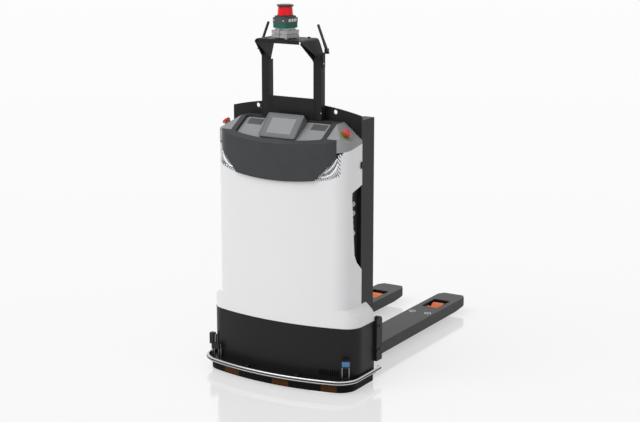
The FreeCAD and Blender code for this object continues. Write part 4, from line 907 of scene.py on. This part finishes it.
# ------------------------------------------------------------------ stage
class ROBOT_OT_stage(bpy.types.Operator):
    """Lay the floor and set the lights and the camera"""
    bl_idname = "robot.stage"
    bl_label = "Stage"

    def execute(self, context):
        scene, sizes = context.scene, context.scene.robot_sizes
        bm = bmesh.new()
        bmesh.ops.create_grid(bm, x_segments=1, y_segments=1, size=sizes.floor / 2)
        mesh = bpy.data.meshes.new("floor")
        bm.to_mesh(mesh)
        bm.free()
        floor = bpy.data.objects.new("floor", mesh)
        scene.collection.objects.link(floor)
        mesh.materials.append(self.floor_finish())
        self.world(scene)
        lamps = (("key", 1.15, 50, (42, 0, -28)), ("fill", 0.35, 80, (60, 0, 62)))
        for name, energy, angle, turn in lamps:
            lamp = bpy.data.lights.new(name, "SUN")
            lamp.energy, lamp.angle = energy, math.radians(angle)
            obj = bpy.data.objects.new(name, lamp)
            obj.rotation_euler = [math.radians(a) for a in turn]
            scene.collection.objects.link(obj)
        cam = bpy.data.cameras.new("camera")
        cam.sensor_width, cam.lens, cam.clip_end = 36.0, sizes.lens, 400.0
        eye = bpy.data.objects.new("camera", cam)
        eye.location = CAMERA_PLACE
        eye.rotation_euler = (math.radians(90 - CAMERA_DIP), 0, math.radians(CAMERA_TURN))
        scene.collection.objects.link(eye)
        scene.camera = eye
        scene.view_settings.view_transform = "Standard"
        return {"FINISHED"}

    def floor_finish(self):
        """A pale glossy floor that also glows to the camera and in reflections."""
        f = Finish("pale floor", (0.90, 0.90, 0.905), 0.11, Specular_IOR_Level=0.9, Coat_Weight=1.0,
                   Coat_Roughness=0.08)
        f.rough(0.09 + 0.05 * f.noise(2.0, 2.0))
        tree = f.tree
        glow = tree.nodes.new("ShaderNodeEmission")
        glow.inputs["Color"].default_value = (1.0, 1.0, 1.0, 1)
        glow_share = 0.5
        blend = tree.nodes.new("ShaderNodeMixShader")
        f.feed(blend.inputs[0], glow_share * self.seen(f))
        tree.links.new(f.bsdf.outputs[0], blend.inputs[1])
        tree.links.new(glow.outputs[0], blend.inputs[2])
        tree.links.new(blend.outputs[0], tree.nodes["Material Output"].inputs["Surface"])
        return f.mat

    def seen(self, f):
        """1 for camera, glossy and transmission rays, and 0 for the rest."""
        path = f.tree.nodes.new("ShaderNodeLightPath")
        rays = [Num(f, path.outputs[k]) for k in ("Is Camera Ray", "Is Glossy Ray", "Is Transmission Ray")]
        return (rays[0] + rays[1] + rays[2]).clamp()

    def world(self, scene):
        """A pale studio, whose light on the robot falls off towards +X."""
        world = bpy.data.worlds.new("studio")
        world.use_nodes = True
        scene.world = world
        tree = world.node_tree
        back = tree.nodes["Background"]
        back.inputs["Color"].default_value = (0.97, 0.972, 0.98, 1)
        side = tree.nodes.new("ShaderNodeSeparateXYZ")
        tree.links.new(tree.nodes.new("ShaderNodeTexCoord").outputs["Generated"], side.inputs[0])
        fall = tree.nodes.new("ShaderNodeMapRange")
        start, end, bright, dim = -0.2, 0.9, 0.75, 0.34
        for k, value in enumerate((start, end, bright, dim), 1):
            fall.inputs[k].default_value = value
        tree.links.new(side.outputs[0], fall.inputs[0])
        tree.links.new(fall.outputs[0], back.inputs["Strength"])
        pale = tree.nodes.new("ShaderNodeBackground")
        pale.inputs["Color"].default_value = (0.975, 0.975, 0.980, 1)
        path = tree.nodes.new("ShaderNodeLightPath")
        blend = tree.nodes.new("ShaderNodeMixShader")
        total = path.outputs["Is Camera Ray"]
        for ray in ("Is Glossy Ray", "Is Transmission Ray"):
            both = tree.nodes.new("ShaderNodeMath")
            both.operation, both.use_clamp = "ADD", True
            tree.links.new(total, both.inputs[0])
            tree.links.new(path.outputs[ray], both.inputs[1])
            total = both.outputs[0]
        tree.links.new(total, blend.inputs[0])
        tree.links.new(back.outputs[0], blend.inputs[1])
        tree.links.new(pale.outputs[0], blend.inputs[2])
        tree.links.new(blend.outputs[0], tree.nodes["World Output"].inputs["Surface"])


STEPS = (ROBOT_OT_covers, ROBOT_OT_screen, ROBOT_OT_steel, ROBOT_OT_running_gear, ROBOT_OT_lamps,
         ROBOT_OT_controls, ROBOT_OT_scanner, ROBOT_OT_bumper, ROBOT_OT_fasteners, ROBOT_OT_scanner_details,
         ROBOT_OT_deck_details, ROBOT_OT_stage)


class ROBOT_PT_panel(bpy.types.Panel):
    """Colours, sizes and steps of the robot"""
    bl_idname = "ROBOT_PT_panel"
    bl_label = "Pallet robot"
    bl_space_type = "VIEW_3D"
    bl_region_type = "UI"
    bl_category = "Robot"

    def draw(self, context):
        for group in (context.scene.robot_colours, context.scene.robot_sizes):
            for key in group.__annotations__:
                self.layout.prop(group, key)
        for step in STEPS:
            self.layout.operator(step.bl_idname)


CLASSES = (RobotColours, RobotSizes) + STEPS + (ROBOT_PT_panel,)


def register():
    for cls in CLASSES:
        bpy.utils.register_class(cls)
    bpy.types.Scene.robot_colours = PointerProperty(type=RobotColours)
    bpy.types.Scene.robot_sizes = PointerProperty(type=RobotSizes)


def unregister():
    del bpy.types.Scene.robot_sizes
    del bpy.types.Scene.robot_colours
    for cls in reversed(CLASSES):
        bpy.utils.unregister_class(cls)


def plain(box):
    return [[float(v) for v in corner] for corner in box]


def main():
    register()
    for step in STEPS:
        group, name = step.bl_idname.split(".")
        getattr(getattr(bpy.ops, group), name)()


if __name__ == "__main__":
    main()
